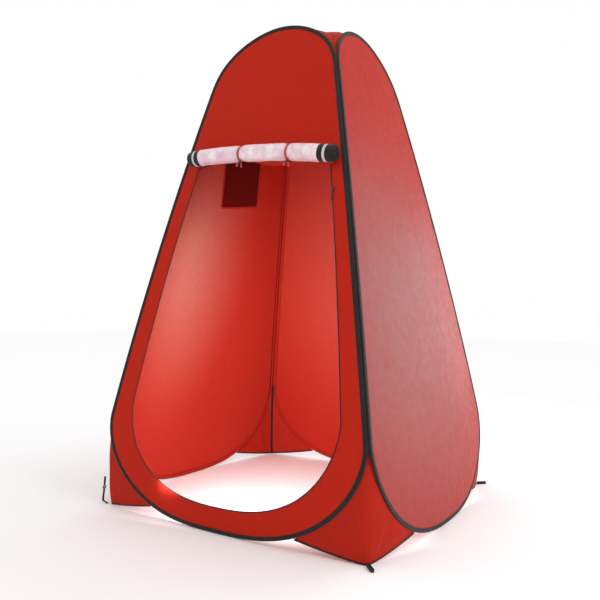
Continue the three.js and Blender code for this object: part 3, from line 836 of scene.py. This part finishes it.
def corner_web(name, halves):
    """The strip that joins two hoops' piping up a corner line."""
    z = np.linspace(0.33, SHOULDER_Z + 0.02, 90)
    verts, faces = [], []
    for wall, side, inset in halves:
        offs = np.array([0.011 + inset, 0.005 + inset * 0.5, 0.0])
        u = side * (corner_half(z)[:, None] - offs)
        lift = np.broadcast_to(np.array([-0.0006, -0.0012, -0.0020]), u.shape)
        uu = u - side * np.array([0, 0, 0.0020])
        points = wall.place(uu, np.broadcast_to(z[:, None], uu.shape), lift)
        start = len(verts) * points.shape[0] * 3
        grid = grid_faces(len(z), 3)
        if side < 0:
            grid = [f[::-1] for f in grid]
        faces += [tuple(start + i for i in f) for f in grid]
        verts.append(points.reshape(-1, 3))
    verts = np.concatenate(verts)
    obj = new_piece(name, verts, faces, (TAPE, RED_CORNER_IN), uv=verts[:, [0, 2]], painted_sheen=np.zeros(len(verts)))
    if len(halves) > 1:
        weld(obj, 0.0006)
    return thicken(obj)


def corner_binding(name, halves):
    """Black tape over a gusset's seam, inside the tent, from the ground to where the hoops meet."""
    z = np.linspace(0.003, 0.372, 70)
    near = np.array([0.0, 0.004, 0.008])
    rows = []
    for lift in (-0.0009, -0.0021):
        run = []
        for (wall, side), offs in zip(halves, (near[::-1], near[1:])):
            zz = np.broadcast_to(z[:, None], (len(z), len(offs)))
            u = corner_half(zz) - offs
            cut = rounding(np.broadcast_to(offs, zz.shape), zz)
            run.append(wall.place(side * u, zz, np.full(zz.shape, lift), side, cut))
        rows.append(np.concatenate(run, 1))
    rings = np.concatenate([rows[0], rows[1][:, ::-1]], 1)
    return sweep(name, rings, False, (TAPE,))


REACH = 0.06                       # how far from the corner a gusset starts to turn
CORNERS = {
    "front_right": {"halves": [(FRONT, 1), (RIGHT, -1)], "bodies": ("front", "right"),
                    "start": (TIP - REACH, -TIP, 0), "end": (TIP, -TIP + REACH, 0),
                    "nodes": ("gusset_front_b", "gusset_right_a"), "hems": ("hem_front_b", "hem_right_a")},
    "front_left": {"halves": [(LEFT, 1), (FRONT, -1)], "bodies": ("front", "left"),
                   "start": (-TIP + REACH, -TIP, 0), "end": (-TIP, -TIP + REACH, 0),
                   "nodes": ("gusset_front_a", "gusset_left_b"), "hems": ("hem_front_a", "hem_left_b")},
    "back_left": {"halves": [(BACK, 1), (LEFT, -1)], "bodies": ("left", "back"),
                  "start": (-TIP, TIP - REACH, 0), "end": (-TIP + REACH, TIP, 0),
                  "nodes": ("gusset_back_b", "gusset_left_a"), "hems": ("hem_back_b", "hem_left_a")},
}


def build_corners():
    for k, (corner, row) in enumerate(CORNERS.items()):
        cloth = gusset(f"corner_gusset_{corner}", row["halves"], 2.0 + 3 * k)
        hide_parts(*row["nodes"])
        edge = hem(f"corner_hem_{corner}", row["halves"])
        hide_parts(*row["hems"])
        web = corner_web(f"corner_web_{corner}", [(w, s, 0.0) for w, s in row["halves"]])
        for piece, slot in ((cloth, "red_cloth"), (edge, "black_binding"), (web, "black_binding")):
            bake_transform(piece)
        if corner == "back_left":
            binding = corner_binding("corner_binding_back_left", row["halves"])
            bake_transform(binding)
    for wall, side, letter in ((RIGHT, 1, "b"), (BACK, -1, "a")):
        cloth = gusset(f"corner_gusset_open_{wall.name}", [(wall, side)], 14.0)
        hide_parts(f"gusset_{wall.name}_{letter}")
        edge = hem(f"corner_hem_open_{wall.name}", [(wall, side)])
        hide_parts(f"hem_{wall.name}_{letter}")
        web = corner_web(f"corner_web_open_{wall.name}", [(wall, side, OPEN_SLACK)])
        for piece, slot in ((cloth, "red_cloth"), (edge, "black_binding"), (web, "black_binding")):
            assign(piece, slot, wall.name)


# ---- roof ----
ROOF_START = SHOULDER_Z - 0.06


def roof_height(x, y):
    """Cloth drawn in straight lines from hoop to hoop across each corner, and flat in the middle."""
    high = FRONT.right[FRONT.right[:, 1] >= ROOF_START - 0.02]
    reach = high[:, 0] + corner_half(high[:, 1])
    order = np.argsort(reach)
    return np.interp(np.abs(x) + np.abs(y), reach[order], high[order, 1])


def build_roof():
    columns, rows = 81, 28
    for k, wall in enumerate(WALLS):
        rights = wall.right[wall.right[:, 1] >= ROOF_START]
        lefts = wall.left[wall.left[:, 1] >= ROOF_START] * (-1, 1)
        arc = np.concatenate([lefts, rights[::-1][1:]])
        normal = side_normals(arc[::-1], False)[::-1]
        arc = even(arc + normal * CLEAR_OF_HOOP, columns)
        rim = np.stack([arc[:, 0], -corner_half(arc[:, 1]) + 0.001, arc[:, 1]], 1)
        s = np.linspace(-1, 1, columns)
        corner = float(corner_half(ROOF_START))
        ends = np.stack([s * corner, -np.abs(s) * corner], 1)
        share = np.linspace(0, 1, rows)[:, None]
        x = rim[:, 0] * (1 - share) + ends[:, 0] * share
        y = rim[:, 1] * (1 - share) + ends[:, 1] * share
        blend = smooth_step(0.0, 0.25, share)
        sag = 0.0075 * np.sin(np.pi * 0.5 * share) ** 2 * smooth_step(1.0, 0.75, np.abs(s))
        wrinkle = 0.0022 * rough(x, y, x * 0, 11.0, 3 + k) * np.sin(np.pi * share)
        wrinkle = wrinkle * smooth_step(1.0, 0.8, np.abs(s))
        z = rim[:, 2] * (1 - blend) + roof_height(x, y) * blend - sag + wrinkle
        points = wall.turned(np.stack([x, y, z], -1)).reshape(-1, 3)
        gore = new_piece(f"roof_gore_{wall.name}", points, grid_faces(rows, columns), (RED_CORNER, RED_IN_LIT),
                         uv=points[:, :2], painted_sheen=np.zeros(len(points)))
        weld(gore, 0.0003)
        thicken(gore)
        if wall is FRONT:
            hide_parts("roof")
        assign(gore, "red_cloth", wall.name)
        top = HOOP["top"]
        lean = float(corner_half(SHOULDER_Z) - corner_half(top)) / (top - SHOULDER_Z)
        axis = wall.turned(np.array([0, 1, -lean]))
        anchor = wall.turned(np.array([0, -float(corner_half(top)), top]))
        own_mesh(gore)


# ---- door roll ----
def roll_line(u):
    share = (u - ROLL["left"]) / (ROLL["right"] - ROLL["left"])
    z = ROLL["left_z"] - ROLL["fall"] * share + 4 * ROLL["arch"] * share * (1 - share)
    return FRONT.place(u, z, ROLL["lift"])


def roll_frames(u):
    """Centre, outward and upward unit vectors of the roll at each station."""
    centre = roll_line(u)
    along = unit(roll_line(u + 0.002) - roll_line(u - 0.002))
    up = unit(np.array([0, 0, 1.0]) - along * along[..., 2:3])
    out = np.cross(along, up)
    return centre, out, up


def roll_ring(centre, out, up, radius, angle):
    """Points round the roll at a radius and angle of each station."""
    return centre + out * (radius * np.cos(angle))[..., None] + up * (radius * np.sin(angle))[..., None]


def roll_shape(u, angle):
    """How the roll's radius differs from a round bar: pinched at the ties and ends, crumpled between."""
    shape = np.ones(np.broadcast(u, angle).shape)
    for place in TIES:
        shape = shape - 0.13 * np.exp(-((u - place) / 0.014) ** 2)
    end = np.minimum(u - ROLL["left"], ROLL["right"] - u)
    shape = shape - 0.10 * np.exp(-np.maximum(end, 0) / 0.02)
    x, y = np.cos(angle) * 0.6 + 0 * u, np.sin(angle) * 0.6 + 0 * u
    crumple = rough(x, y, (u + 0 * angle) * 9, 1.7, 4.0)
    sharp = 1 - 2.2 * np.abs(rough(x, y, (u + 0 * angle) * 16 + np.cos(angle) * 0.7, 1.9, 11.0))
    calm = 0.45 + 0.55 * smooth_step(0.0, 0.06, end)
    return shape + calm * (0.055 * crumple + 0.030 * sharp)


SAMPLES_PER_TURN = 26
# Faces along the roll between its marks, and their material: 0 silver cloth, 1 black tape, 2 white tape.
ROLL_STEPS = ((4, 1), (1, 2), (4, 1), (84, 0), (4, 1), (1, 2), (4, 1))


def build_roll():
    turns = (ROLL["radius"] - ROLL["core"]) / ROLL["pitch"]
    samples = int(turns * SAMPLES_PER_TURN)
    phase = np.linspace(0, turns * 2 * math.pi, samples)
    radius = ROLL["core"] + ROLL["pitch"] * phase / (2 * math.pi)
    angle = phase - phase[-1] + math.radians(100)
    left, right = ROLL["left"], ROLL["right"]
    marks = [left, left + BAND_LINE[1], left + BAND_LINE[0], left + BAND,
             right - BAND, right - BAND_LINE[0], right - BAND_LINE[1], right]
    stations, kinds = [marks[0]], []
    for a, b, (n, kind) in zip(marks[:-1], marks[1:], ROLL_STEPS):
        stations += list(np.linspace(a, b, n + 1)[1:])
        kinds += [kind] * n
    u = np.array(stations)
    centre, out, up = roll_frames(u)
    factor = roll_shape(u[:, None], angle[None])
    weight = (radius / radius[-1]) ** 1.5
    r = radius[None] * (1 + (factor - 1) * weight[None])
    points = roll_ring(centre[:, None], out[:, None], up[:, None], r, angle)
    obj = new_piece("door_roll_cloth", points.reshape(-1, 3), grid_faces(len(u), samples),
                    (SILVER, TAPE, WHITE_TAPE), np.repeat(kinds, samples - 1))
    thicken(obj, 0.0007, 0)
    assign(obj, "silver_coated_cloth", "front", "door_roll", "door_roll_end_left", "door_roll_end_right")

    for name, place, way in (("left", left + 0.0012, -1), ("right", right - 0.0012, 1)):
        c, o, v = (q[0] for q in roll_frames(np.array([place])))
        t = np.cross(o, v) * way
        rings, around = 9, 40
        turn = circle(around)
        verts = []
        for i in range(rings):
            share = i / (rings - 1)
            edge = roll_shape(np.array([place]), turn) * ROLL["radius"] * (1 - 0.94 * share) * 0.965
            bulge = 0.0016 * math.sin(share * math.pi / 2) + 0.0006 * math.sin(share * 34)
            verts.append(roll_ring(c, o, v, edge, turn) + t * bulge)
        middle = tuple((rings - 1) * around + k for k in range(around))
        cap = new_piece(f"door_roll_cap_{name}", np.concatenate(verts),
                        grid_faces(rings, around, False, True) + [middle], (TAPE,))
        thicken(cap, 0.0008, 0)
        assign(cap, "black_binding", "front")


def build_ties():
    for k, place in enumerate(TIES):
        turn = circle(72)
        profile = [(-0.0045, 0.0004), (-0.0045, 0.0012), (-0.002, 0.0015), (0.002, 0.0015),
                   (0.0045, 0.0012), (0.0045, 0.0004), (0.0, 0.0002)]
        offs, lift = np.array(profile).T
        u = place + offs[None] + 0.0015 * np.sin(turn * 2 + k)[:, None]
        angle = np.broadcast_to(turn[:, None], u.shape)
        centre, out, up = roll_frames(u)
        r = ROLL["radius"] * roll_shape(u, angle) + lift + 0.0006
        ring = roll_ring(centre, out, up, r, angle)
        tie = sweep(f"roll_tie_{k + 1}", ring, True, (RIBBON,))
        assign(tie, "red_tie", "front", f"door_tie_{k + 1}")
        # two tails hang from the knot under the roll
        centre, out, up = (q[0] for q in roll_frames(np.array([place])))
        knot_at = centre + out * 0.012 - up * (ROLL["radius"] * 0.96)
        for side, long in ((-1, 0.020), (1, 0.026)):
            t = np.linspace(0, 1, 12)
            spine = knot_at + np.outer(t, (side * 0.010, -0.003, -long))
            spine = spine + np.outer(np.sin(t * math.pi), (side * 0.004, -0.002, 0))
            half = np.array([math.cos(0.5 * side), math.sin(0.5 * side) * -0.6, 0.0]) * 0.0040
            thin = np.array([0.0, -0.0006, 0.0])
            across = (-half - thin, half - thin, half + thin, thin - half)
            section = np.stack([spine + offset for offset in across], 1)
            end = "left" if side < 0 else "right"
            tail = sweep(f"roll_tie_{k + 1}_tail_{end}", section, False, (RIBBON,))
            assign(tail, "red_tie", "front")
        build_toggle(k)


def build_toggle(k):
    """A small barrel cord lock: ribbed waist, domed ends."""
    low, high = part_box(f"door_toggle_{k + 1}")
    centre = (low + high) / 2
    stations = np.linspace(-1, 1, 25)
    half, radius = 0.0090, 0.0031
    ribs = 1 - 0.10 * np.cos(stations * 9) ** 2
    body = np.maximum(radius * np.sqrt(1 - np.abs(stations) ** 5) * ribs, 0.0002)
    axis = Vector((math.cos(0.4), 0, math.sin(0.4))).normalized()
    side = axis.cross(Vector((0, 1, 0))).normalized()
    front = axis.cross(side).normalized()
    rings = np.array([[centre + axis * (half * s) + side * (r * math.cos(a)) + front * (r * math.sin(a))
                       for a in circle(20)] for s, r in zip(stations, body)])
    toggle = sweep(f"roll_toggle_{k + 1}", rings, False, (PLASTIC,))
    assign(toggle, "black_plastic", "front", f"door_toggle_{k + 1}")


def build_swag():
    """The last of the door's cloth, hanging in a shallow fold between the wall and the roll."""
    columns, rows = 60, 15
    u = np.linspace(0.015, 0.352, columns)
    drop = np.interp(u, (0.015, 0.10, 0.19, 0.352), (0.002, 0.017, 0.012, 0.001))
    drop = np.convolve(np.pad(drop, 6, mode="edge"), np.ones(13) / 13, mode="valid")
    centre, out, up = roll_frames(u)
    low = centre - up * (ROLL["radius"] + drop[:, None])
    t = np.linspace(-1, 1, rows)
    depth = t * 0.0075 - 0.009
    rise = 0.022 * np.abs(t) ** 2.2
    along, across = np.meshgrid(u, t, indexing="ij")
    ripple = 0.0016 * rough(along, across * 0.03, along * 0, 34.0, 6.0)
    points = low[:, None] + out[:, None] * depth[None, :, None] + up[:, None] * (rise + ripple)[..., None]
    points = points.reshape(-1, 3)
    obj = new_piece("door_fold", points, grid_faces(columns, rows), (RED_CORNER, RED_CORNER_IN),
                    uv=points[:, [0, 2]], painted_sheen=np.zeros(len(points)))
    thicken(obj)
    assign(obj, "red_cloth", "front")


# ---- doorway edge and zip ----
def build_doorway():
    loop, normals = door_loop(480)
    profile = [(0.0022, 0.0007), (0.0010, 0.0012), (-0.0006, 0.0013), (-0.0016, 0.0007),
               (-0.0016, -0.0007), (-0.0006, -0.0013), (0.0010, -0.0012), (0.0022, -0.0007)]
    edge = sweep("door_edge_tape", carried(FRONT, loop, normals, profile), True, (TAPE,))
    assign(edge, "black_binding", "front", "door_edge")
    seam = stitches("door_edge_stitching", FRONT, loop, normals, 0.0062, 0.0006, 0.0060, THREAD)
    assign(seam, "black_binding", "front")
    # the zip's teeth, up both sides of the doorway
    tooth = stitches("door_zip_teeth", FRONT, loop, normals, -0.0019, 0.0005, 0.0030, PLASTIC,
                     long=0.0017, wide=0.0014, tall=0.0008)
    assign(tooth, "black_plastic", "front")


def lozenge(size, bevel=0.0006, segments=3):
    """A box with rounded edges, as a bmesh centred at the origin."""
    bm = bmesh.new()
    bmesh.ops.create_cube(bm, size=1)
    bmesh.ops.scale(bm, vec=size, verts=bm.verts)
    bmesh.ops.bevel(bm, geom=bm.edges[:], offset=bevel, segments=segments, profile=0.6, affect="EDGES")
    return bm


def joined(parts):
    """One mesh from several bmeshes, each with its matrix."""
    total = bmesh.new()
    for bm, matrix in parts:
        bmesh.ops.transform(bm, matrix=matrix, verts=bm.verts)
        temp = bpy.data.meshes.new("part")
        bm.to_mesh(temp)
        bm.free()
        total.from_mesh(temp)
        bpy.data.meshes.remove(temp)
    return total


def from_bmesh(name, bm, mat):
    mesh = bpy.data.meshes.new(name)
    bm.to_mesh(mesh)
    bm.free()
    return linked(name, mesh, (mat,))


def tube_mesh(points, radius, around=10, closed=False):
    """A round bar along points, as a bmesh."""
    bm = bmesh.new()
    n = len(points)
    rings = []
    for i, p in enumerate(points):
        before = points[(i - 1) % n] if closed or i else points[0]
        after = points[(i + 1) % n] if closed or i < n - 1 else points[-1]
        along = (Vector(after) - Vector(before)).normalized()
        side = along.cross(Vector((0.13, 0.21, 0.97))).normalized()
        other = along.cross(side)
        rings.append([bm.verts.new(Vector(p) + (side * math.cos(a) + other * math.sin(a)) * radius)
                      for a in (k * 2 * math.pi / around for k in range(around))])
    for i in range(n if closed else n - 1):
        a, b = rings[i], rings[(i + 1) % n]
        for k in range(around):
            bm.faces.new((a[k], a[(k + 1) % around], b[(k + 1) % around], b[k]))
    if not closed:
        bm.faces.new(rings[0][::-1])
        bm.faces.new(rings[-1])
    bmesh.ops.recalc_face_normals(bm, faces=bm.faces)
    return bm


def build_zip():
    """Slider: domed body, side guides and a bridge. Puller: a loop and a long grip tab."""
    low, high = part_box("zip_slider")
    centre = (low + high) / 2
    z = centre.z
    u = DOOR_SHIFT + float(door_half(z)) + 0.0055
    lean = (float(door_half(z + 0.05)) - float(door_half(z - 0.05))) / 0.1
    m = FRONT.frame_at(u, z, 0.0056, (lean, 1))
    m.translation = centre
    plate, cover, guide = (0.0088, 0.0155, 0.0016), (0.0080, 0.0145, 0.0016), (0.0014, 0.0120, 0.0034)
    parts = [(lozenge(plate), Matrix.Translation((0, 0, -0.0014))),
             (lozenge(cover), Matrix.Translation((0, 0, 0.0008))),
             (lozenge(guide, 0.0004), Matrix.Translation((0.0035, -0.001, -0.0003))),
             (lozenge(guide, 0.0004), Matrix.Translation((-0.0035, -0.001, -0.0003)))]
    arc = [(0, math.cos(a) * 0.0052, 0.0012 + math.sin(a) * 0.0016) for a in np.linspace(0, math.pi, 13)]
    parts.append((tube_mesh(arc, 0.0006), Matrix.Identity(4)))
    slider = from_bmesh("zip_slider_body", joined(parts), PLASTIC)
    slider.data.transform(m)
    assign(slider, "black_plastic", "zip_slider", "zip_slider")

    low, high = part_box("zip_puller")
    centre = (low + high) / 2
    m = FRONT.frame_at(u, centre.z, 0.0076, (0, 1))
    m.translation = centre
    loop = [(math.sin(a) * 0.0022, 0.0125 + math.cos(a) * 0.0040, 0) for a in circle(20)]
    tab, rib = (0.0058, 0.0240, 0.0012), (0.0044, 0.0009, 0.0016)
    parts = [(tube_mesh(loop, 0.0006, 8, True), Matrix.Identity(4)),
             (lozenge(tab, 0.0005), Matrix.Translation((0, -0.0040, 0)))]
    parts += [(lozenge(rib, 0.0003, 2), Matrix.Translation((0, -0.0130 + k * 0.0028, 0))) for k in range(6)]
    puller = from_bmesh("zip_puller_tab", joined(parts), PLASTIC)
    puller.data.transform(m)
    assign(puller, "black_plastic", "zip_puller", "zip_puller")


# ---- window ----
def sash_turned(du, dz):
    c, t = math.cos(SASH["turn"]), math.sin(SASH["turn"])
    return du * c + dz * t, dz * c - du * t


def sash_place(du, dz):
    """The place (u, z) on the left wall of a point in the window's own square axes."""
    u, z = sash_turned(du, dz)
    return SASH["u"] + u, SASH["z"] + z


def sash_sides():
    """A point on each side of the window, and the side's outward direction."""
    return [(sash_place(nu * SASH["half"], nz * SASH["tall"]), sash_turned(nu, nz))
            for nu, nz in ((-1, 0), (1, 0), (0, -1), (0, 1))]


def sash_loop(border, count, corner=0.004):
    """The window's outline with rounded corners, in (u, z), climbing on its right side."""
    w, h = SASH["half"] + border, SASH["tall"] + border
    points = []
    for cu, cz, start in ((w - corner, corner - h, -90), (w - corner, h - corner, 0),
                          (corner - w, h - corner, 90), (corner - w, corner - h, 180)):
        for a in np.radians(np.linspace(start, start + 90, 6)):
            points.append(sash_place(cu + corner * math.cos(a), cz + corner * math.sin(a)))
    loop = even_loop(np.array(points), count)
    return loop, side_normals(loop, True)


def build_window():
    loop, normals = sash_loop(0.0, 260, 0.0015)
    profile = [(0.0005, -0.0019), (0.0085, -0.0019), (0.0092, -0.0025),
               (0.0085, -0.0031), (0.0005, -0.0031), (-0.0004, -0.0025)]
    frame_tape = sweep("window_surround", carried(LEFT, loop, normals, profile), True, (RED_CORNER_IN,))
    assign(frame_tape, "red_cloth", "left", "window_frame")
    seam = stitches("window_stitching", LEFT, *sash_loop(0.0, 400, 0.0015), 0.0068, -0.0031, 0.0055, THREAD)
    assign(seam, "black_binding", "left")

    cells_u, cells_z = 64, 58
    gu, gz = sash_place(*np.meshgrid(np.linspace(-1, 1, cells_u) * (SASH["half"] - 0.0006),
                                     np.linspace(-1, 1, cells_z) * (SASH["tall"] - 0.0006)))
    sag = 0.0012 * rough(gu, gz, gu * 0, 9.0, 2.0)
    points = LEFT.place(gu, gz, sag).reshape(-1, 3)
    net = new_piece("window_net", points, grid_faces(cells_z, cells_u), (DARK_NET_AND_FLAP_SHADE,))
    wire = net.modifiers.new("strands", "WIREFRAME")
    wire.thickness, wire.use_boundary, wire.use_even_offset = 0.0014, True, False
    settle(net)
    assign(net, "dark_netting", "left", "window_mesh")

    border, lift = 0.014, 0.0023
    cols, rows = 44, 40
    across, t = np.meshgrid(np.linspace(-1, 1, cols), np.linspace(0, 1, rows))
    gu, gz = sash_place(across * (SASH["half"] + border), (2 * t - 1) * (SASH["tall"] + border))
    wave = 0.0012 * rough(gu, gz, gu * 0, 14.0, 8.0) * (1 - t)
    pts = np.stack([gu.ravel(), gz.ravel()], 1)
    stand = (lift + 0.0006 + np.abs(wave) + 0.0008 * (1 - t)).ravel()
    # The flap's inner side takes the dark net material: painted shade on the covered side of the red flap.
    flap = cloth_piece("window_flap_cloth", LEFT, pts, grid_faces(rows, cols), (RED_SIDE, DARK_NET_AND_FLAP_SHADE), stand,
                       np.zeros(rows * cols))
    assign(flap, "red_cloth", "window_flap", "window_flap")
    loop, normals = sash_loop(border - 0.002, 300, 0.004)
    tall = lift + 0.0018
    profile = [(-0.0050, tall), (0.0012, tall + 0.0004), (0.0022, tall - 0.0012),
               (0.0012, tall - 0.0022), (0.0004, tall - 0.0012), (-0.0050, tall - 0.0010)]
    binding = sweep("window_flap_binding", carried(LEFT, loop, normals, profile), True, (TAPE,))
    assign(binding, "black_binding", "window_flap")


# ---- webbing at the ground ----
LOOPS = (("front_right", 1, -1, "front"), ("back_right", 1, 1, "back"), ("back_left", -1, 1, "back"))


def build_loops():
    """Stake loops: flat webbing doubled into a racetrack that stands on its edge, with a sewn bar."""
    for name, sx, sy, body in LOOPS:
        long, radius = 0.034, 0.0050
        reach = TIP + 0.006
        angle = math.atan2(sy, sx)
        path = [(far + radius * math.cos(a), radius * math.sin(a))
                for far, start in ((long, -math.pi / 2), (0.0, math.pi / 2))
                for a in np.linspace(start, start + math.pi, 14)]
        path = even_loop(np.array(path), 96)
        waist = 1 - 0.22 * np.exp(-((path[:, 0] - 0.008) / 0.007) ** 2)
        path[:, 1] *= waist
        normal = side_normals(path, True)
        profile = [(-0.0009, 0.0010), (-0.0005, 0.0002), (0.0005, 0.0002), (0.0009, 0.0010),
                   (0.0009, 0.0088), (0.0005, 0.0098), (-0.0005, 0.0098), (-0.0009, 0.0088)]
        off, height = np.array(profile).T
        x = path[:, :1] + normal[:, :1] * off
        y = path[:, 1:] + normal[:, 1:] * off
        z = np.broadcast_to(height, x.shape) + 0.0004 * np.sin(path[:, :1] * 180)
        c, s = math.cos(angle), math.sin(angle)
        points = np.stack([sx * reach + x * c - y * s, sy * reach + x * s + y * c, np.maximum(z, 0.0001)], -1)
        loop = sweep(f"webbing_loop_{name}", points, True, (WEBBING,))
        assign(loop, "black_webbing", body, f"stake_loop_{name}")
        place = (sx * (reach + 0.008 * abs(c)), sy * (reach + 0.008 * abs(s)), 0.0052)
        bm = lozenge((0.0016, 0.0118, 0.0080))
        bm.transform(Matrix.Translation(place) @ Matrix.Rotation(angle, 4, "Z"))
        piece = from_bmesh(f"webbing_bar_{name}", bm, WEBBING)
        assign(piece, "black_webbing", body)


STRAP = {
    "width": 0.008, "thick": 0.0016, "top": (-0.580, -0.5745, 0.108), "buckle": (-0.599, -0.561, 0.060),
    "low": ((-0.602, -0.559, 0.052), (-0.614, -0.552, 0.020), (-0.621, -0.548, 0.004),
            (-0.616, -0.550, 0.0012), (-0.572, -0.566, 0.0012)),
}


def strap(name, places, steps):
    """Flat webbing through the given places, with rounded edges."""
    spine = even(np.array(places, float), steps)
    for _ in range(2):
        spine[1:-1] = (spine[:-2] + 2 * spine[1:-1] + spine[2:]) / 4
    side = np.array([0.26, 0.966, 0.0])
    out = unit(np.cross(unit(np.gradient(spine, axis=0)), side))
    w, t = STRAP["width"] / 2, STRAP["thick"] / 2
    profile = [(-w, -t * 0.4), (-w * 0.9, -t), (0, -t * 0.85), (w * 0.9, -t), (w, -t * 0.4),
               (w, t * 0.4), (w * 0.9, t), (0, t * 0.85), (-w * 0.9, t), (-w, t * 0.4)]
    a, b = np.array(profile).T
    rings = spine[:, None] + side * a[None, :, None] + out[:, None] * b[None, :, None]
    rings[..., 2] = np.maximum(rings[..., 2], 0.0002)
    return sweep(name, rings, False, (WEBBING,))


def build_tension():
    buckle = Vector(STRAP["buckle"])
    end = buckle.lerp(Vector(STRAP["top"]), 0.16)
    upper = strap("tension_strap_top", (STRAP["top"], tuple(end)), 16)
    lower = strap("tension_strap_tail", STRAP["low"], 60)
    turn = Matrix.Rotation(0.35, 4, "Y") @ Matrix.Rotation(-0.26, 4, "Z")
    end_bar, middle_bar, cheek = (0.0036, 0.0128, 0.0024), (0.0030, 0.0128, 0.0018), (0.0036, 0.0022, 0.0116)
    bars = [(end_bar, (0, 0, 0.0046)), (end_bar, (0, 0, -0.0046)), (middle_bar, (0.0004, 0, 0.0)),
            (cheek, (0, 0.0052, 0)), (cheek, (0, -0.0052, 0))]
    bm = joined([(lozenge(size), turn @ Matrix.Translation(at)) for size, at in bars])
    ladder = from_bmesh("tension_ladder_lock", bm, PLASTIC)
    ladder.data.transform(Matrix.Translation(buckle))
    assign(upper, "black_webbing", "front", "tension_strap_upper")
    assign(lower, "black_webbing", "front", "tension_strap_lower")
    assign(ladder, "black_plastic", "front", "tension_buckle")


# ---- camera, floor and lights ----
def build_camera():
    camera = bpy.data.objects.new("camera", bpy.data.cameras.new("camera"))
    bpy.context.scene.collection.objects.link(camera)
    forward = Vector(CAMERA_FORWARD).normalized()
    up = Vector(CAMERA_UP)
    right = forward.cross(up).normalized()
    up = right.cross(forward).normalized()
    m = Matrix((right, up, -forward)).transposed().to_4x4()
    m.translation = Vector(CAMERA_PLACE)
    camera.matrix_world = m
    camera.data.lens = CAMERA_LENS
    camera.data.sensor_width = 36
    camera.data.clip_end = 200
    bpy.context.scene.camera = camera


def area_light(name, place, target, size, power):
    data = bpy.data.lights.new(name, "AREA")
    data.shape, data.size, data.size_y = "RECTANGLE", *size
    data.energy = power
    obj = bpy.data.objects.new(name, data)
    bpy.context.scene.collection.objects.link(obj)
    obj.location = place
    obj.rotation_mode = "QUATERNION"
    obj.rotation_quaternion = (Vector(target) - Vector(place)).to_track_quat("-Z", "Y")
    obj.visible_camera = False


def build_stage():
    size, count, below = 40.0, 21, 0.0002
    axis = np.linspace(-size / 2, size / 2, count)
    gx, gy = np.meshgrid(axis, axis)
    points = np.stack([gx, gy, np.full_like(gx, -below)], -1).reshape(-1, 3)
    floor = new_piece("floor", points, grid_faces(count, count), (FLOOR,))
    world = bpy.data.worlds.new("studio")
    bpy.context.scene.world = world
    world.use_nodes = True
    sky = world.node_tree.nodes["Background"]
    sky.inputs["Color"].default_value = (1, 1, 1, 1)
    sky.inputs["Strength"].default_value = 1.0
    bpy.context.scene.view_settings.view_transform = "Standard"
    area_light("softbox_back_right", (1.7, 3.2, 1.2), (0.5, 0.0, 0.85), (2.6, 1.6), 40)
    area_light("key_right", (4.2, -0.6, 2.4), (0.3, 0.0, 0.9), (2.0, 2.0), 45)
    area_light("doorway_glow", (0.0, -0.47, 0.60), (-0.14, 0.6, 0.34), (0.55, 1.0), 10.5)


build_camera()
build_stage()
cloths = build_walls()
build_hoops()
build_corners()
build_roof()
build_roll()
build_ties()
build_swag()
build_doorway()
build_zip()
build_window()
build_loops()
build_tension()
for name, cloth in cloths.items():
    assign(cloth, "red_cloth", name, f"wall_{name}")
for wall in WALLS:
    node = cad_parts[f"wire_{wall.name}"]
    node.data.materials.clear()
    node.data.materials.append(STEEL)
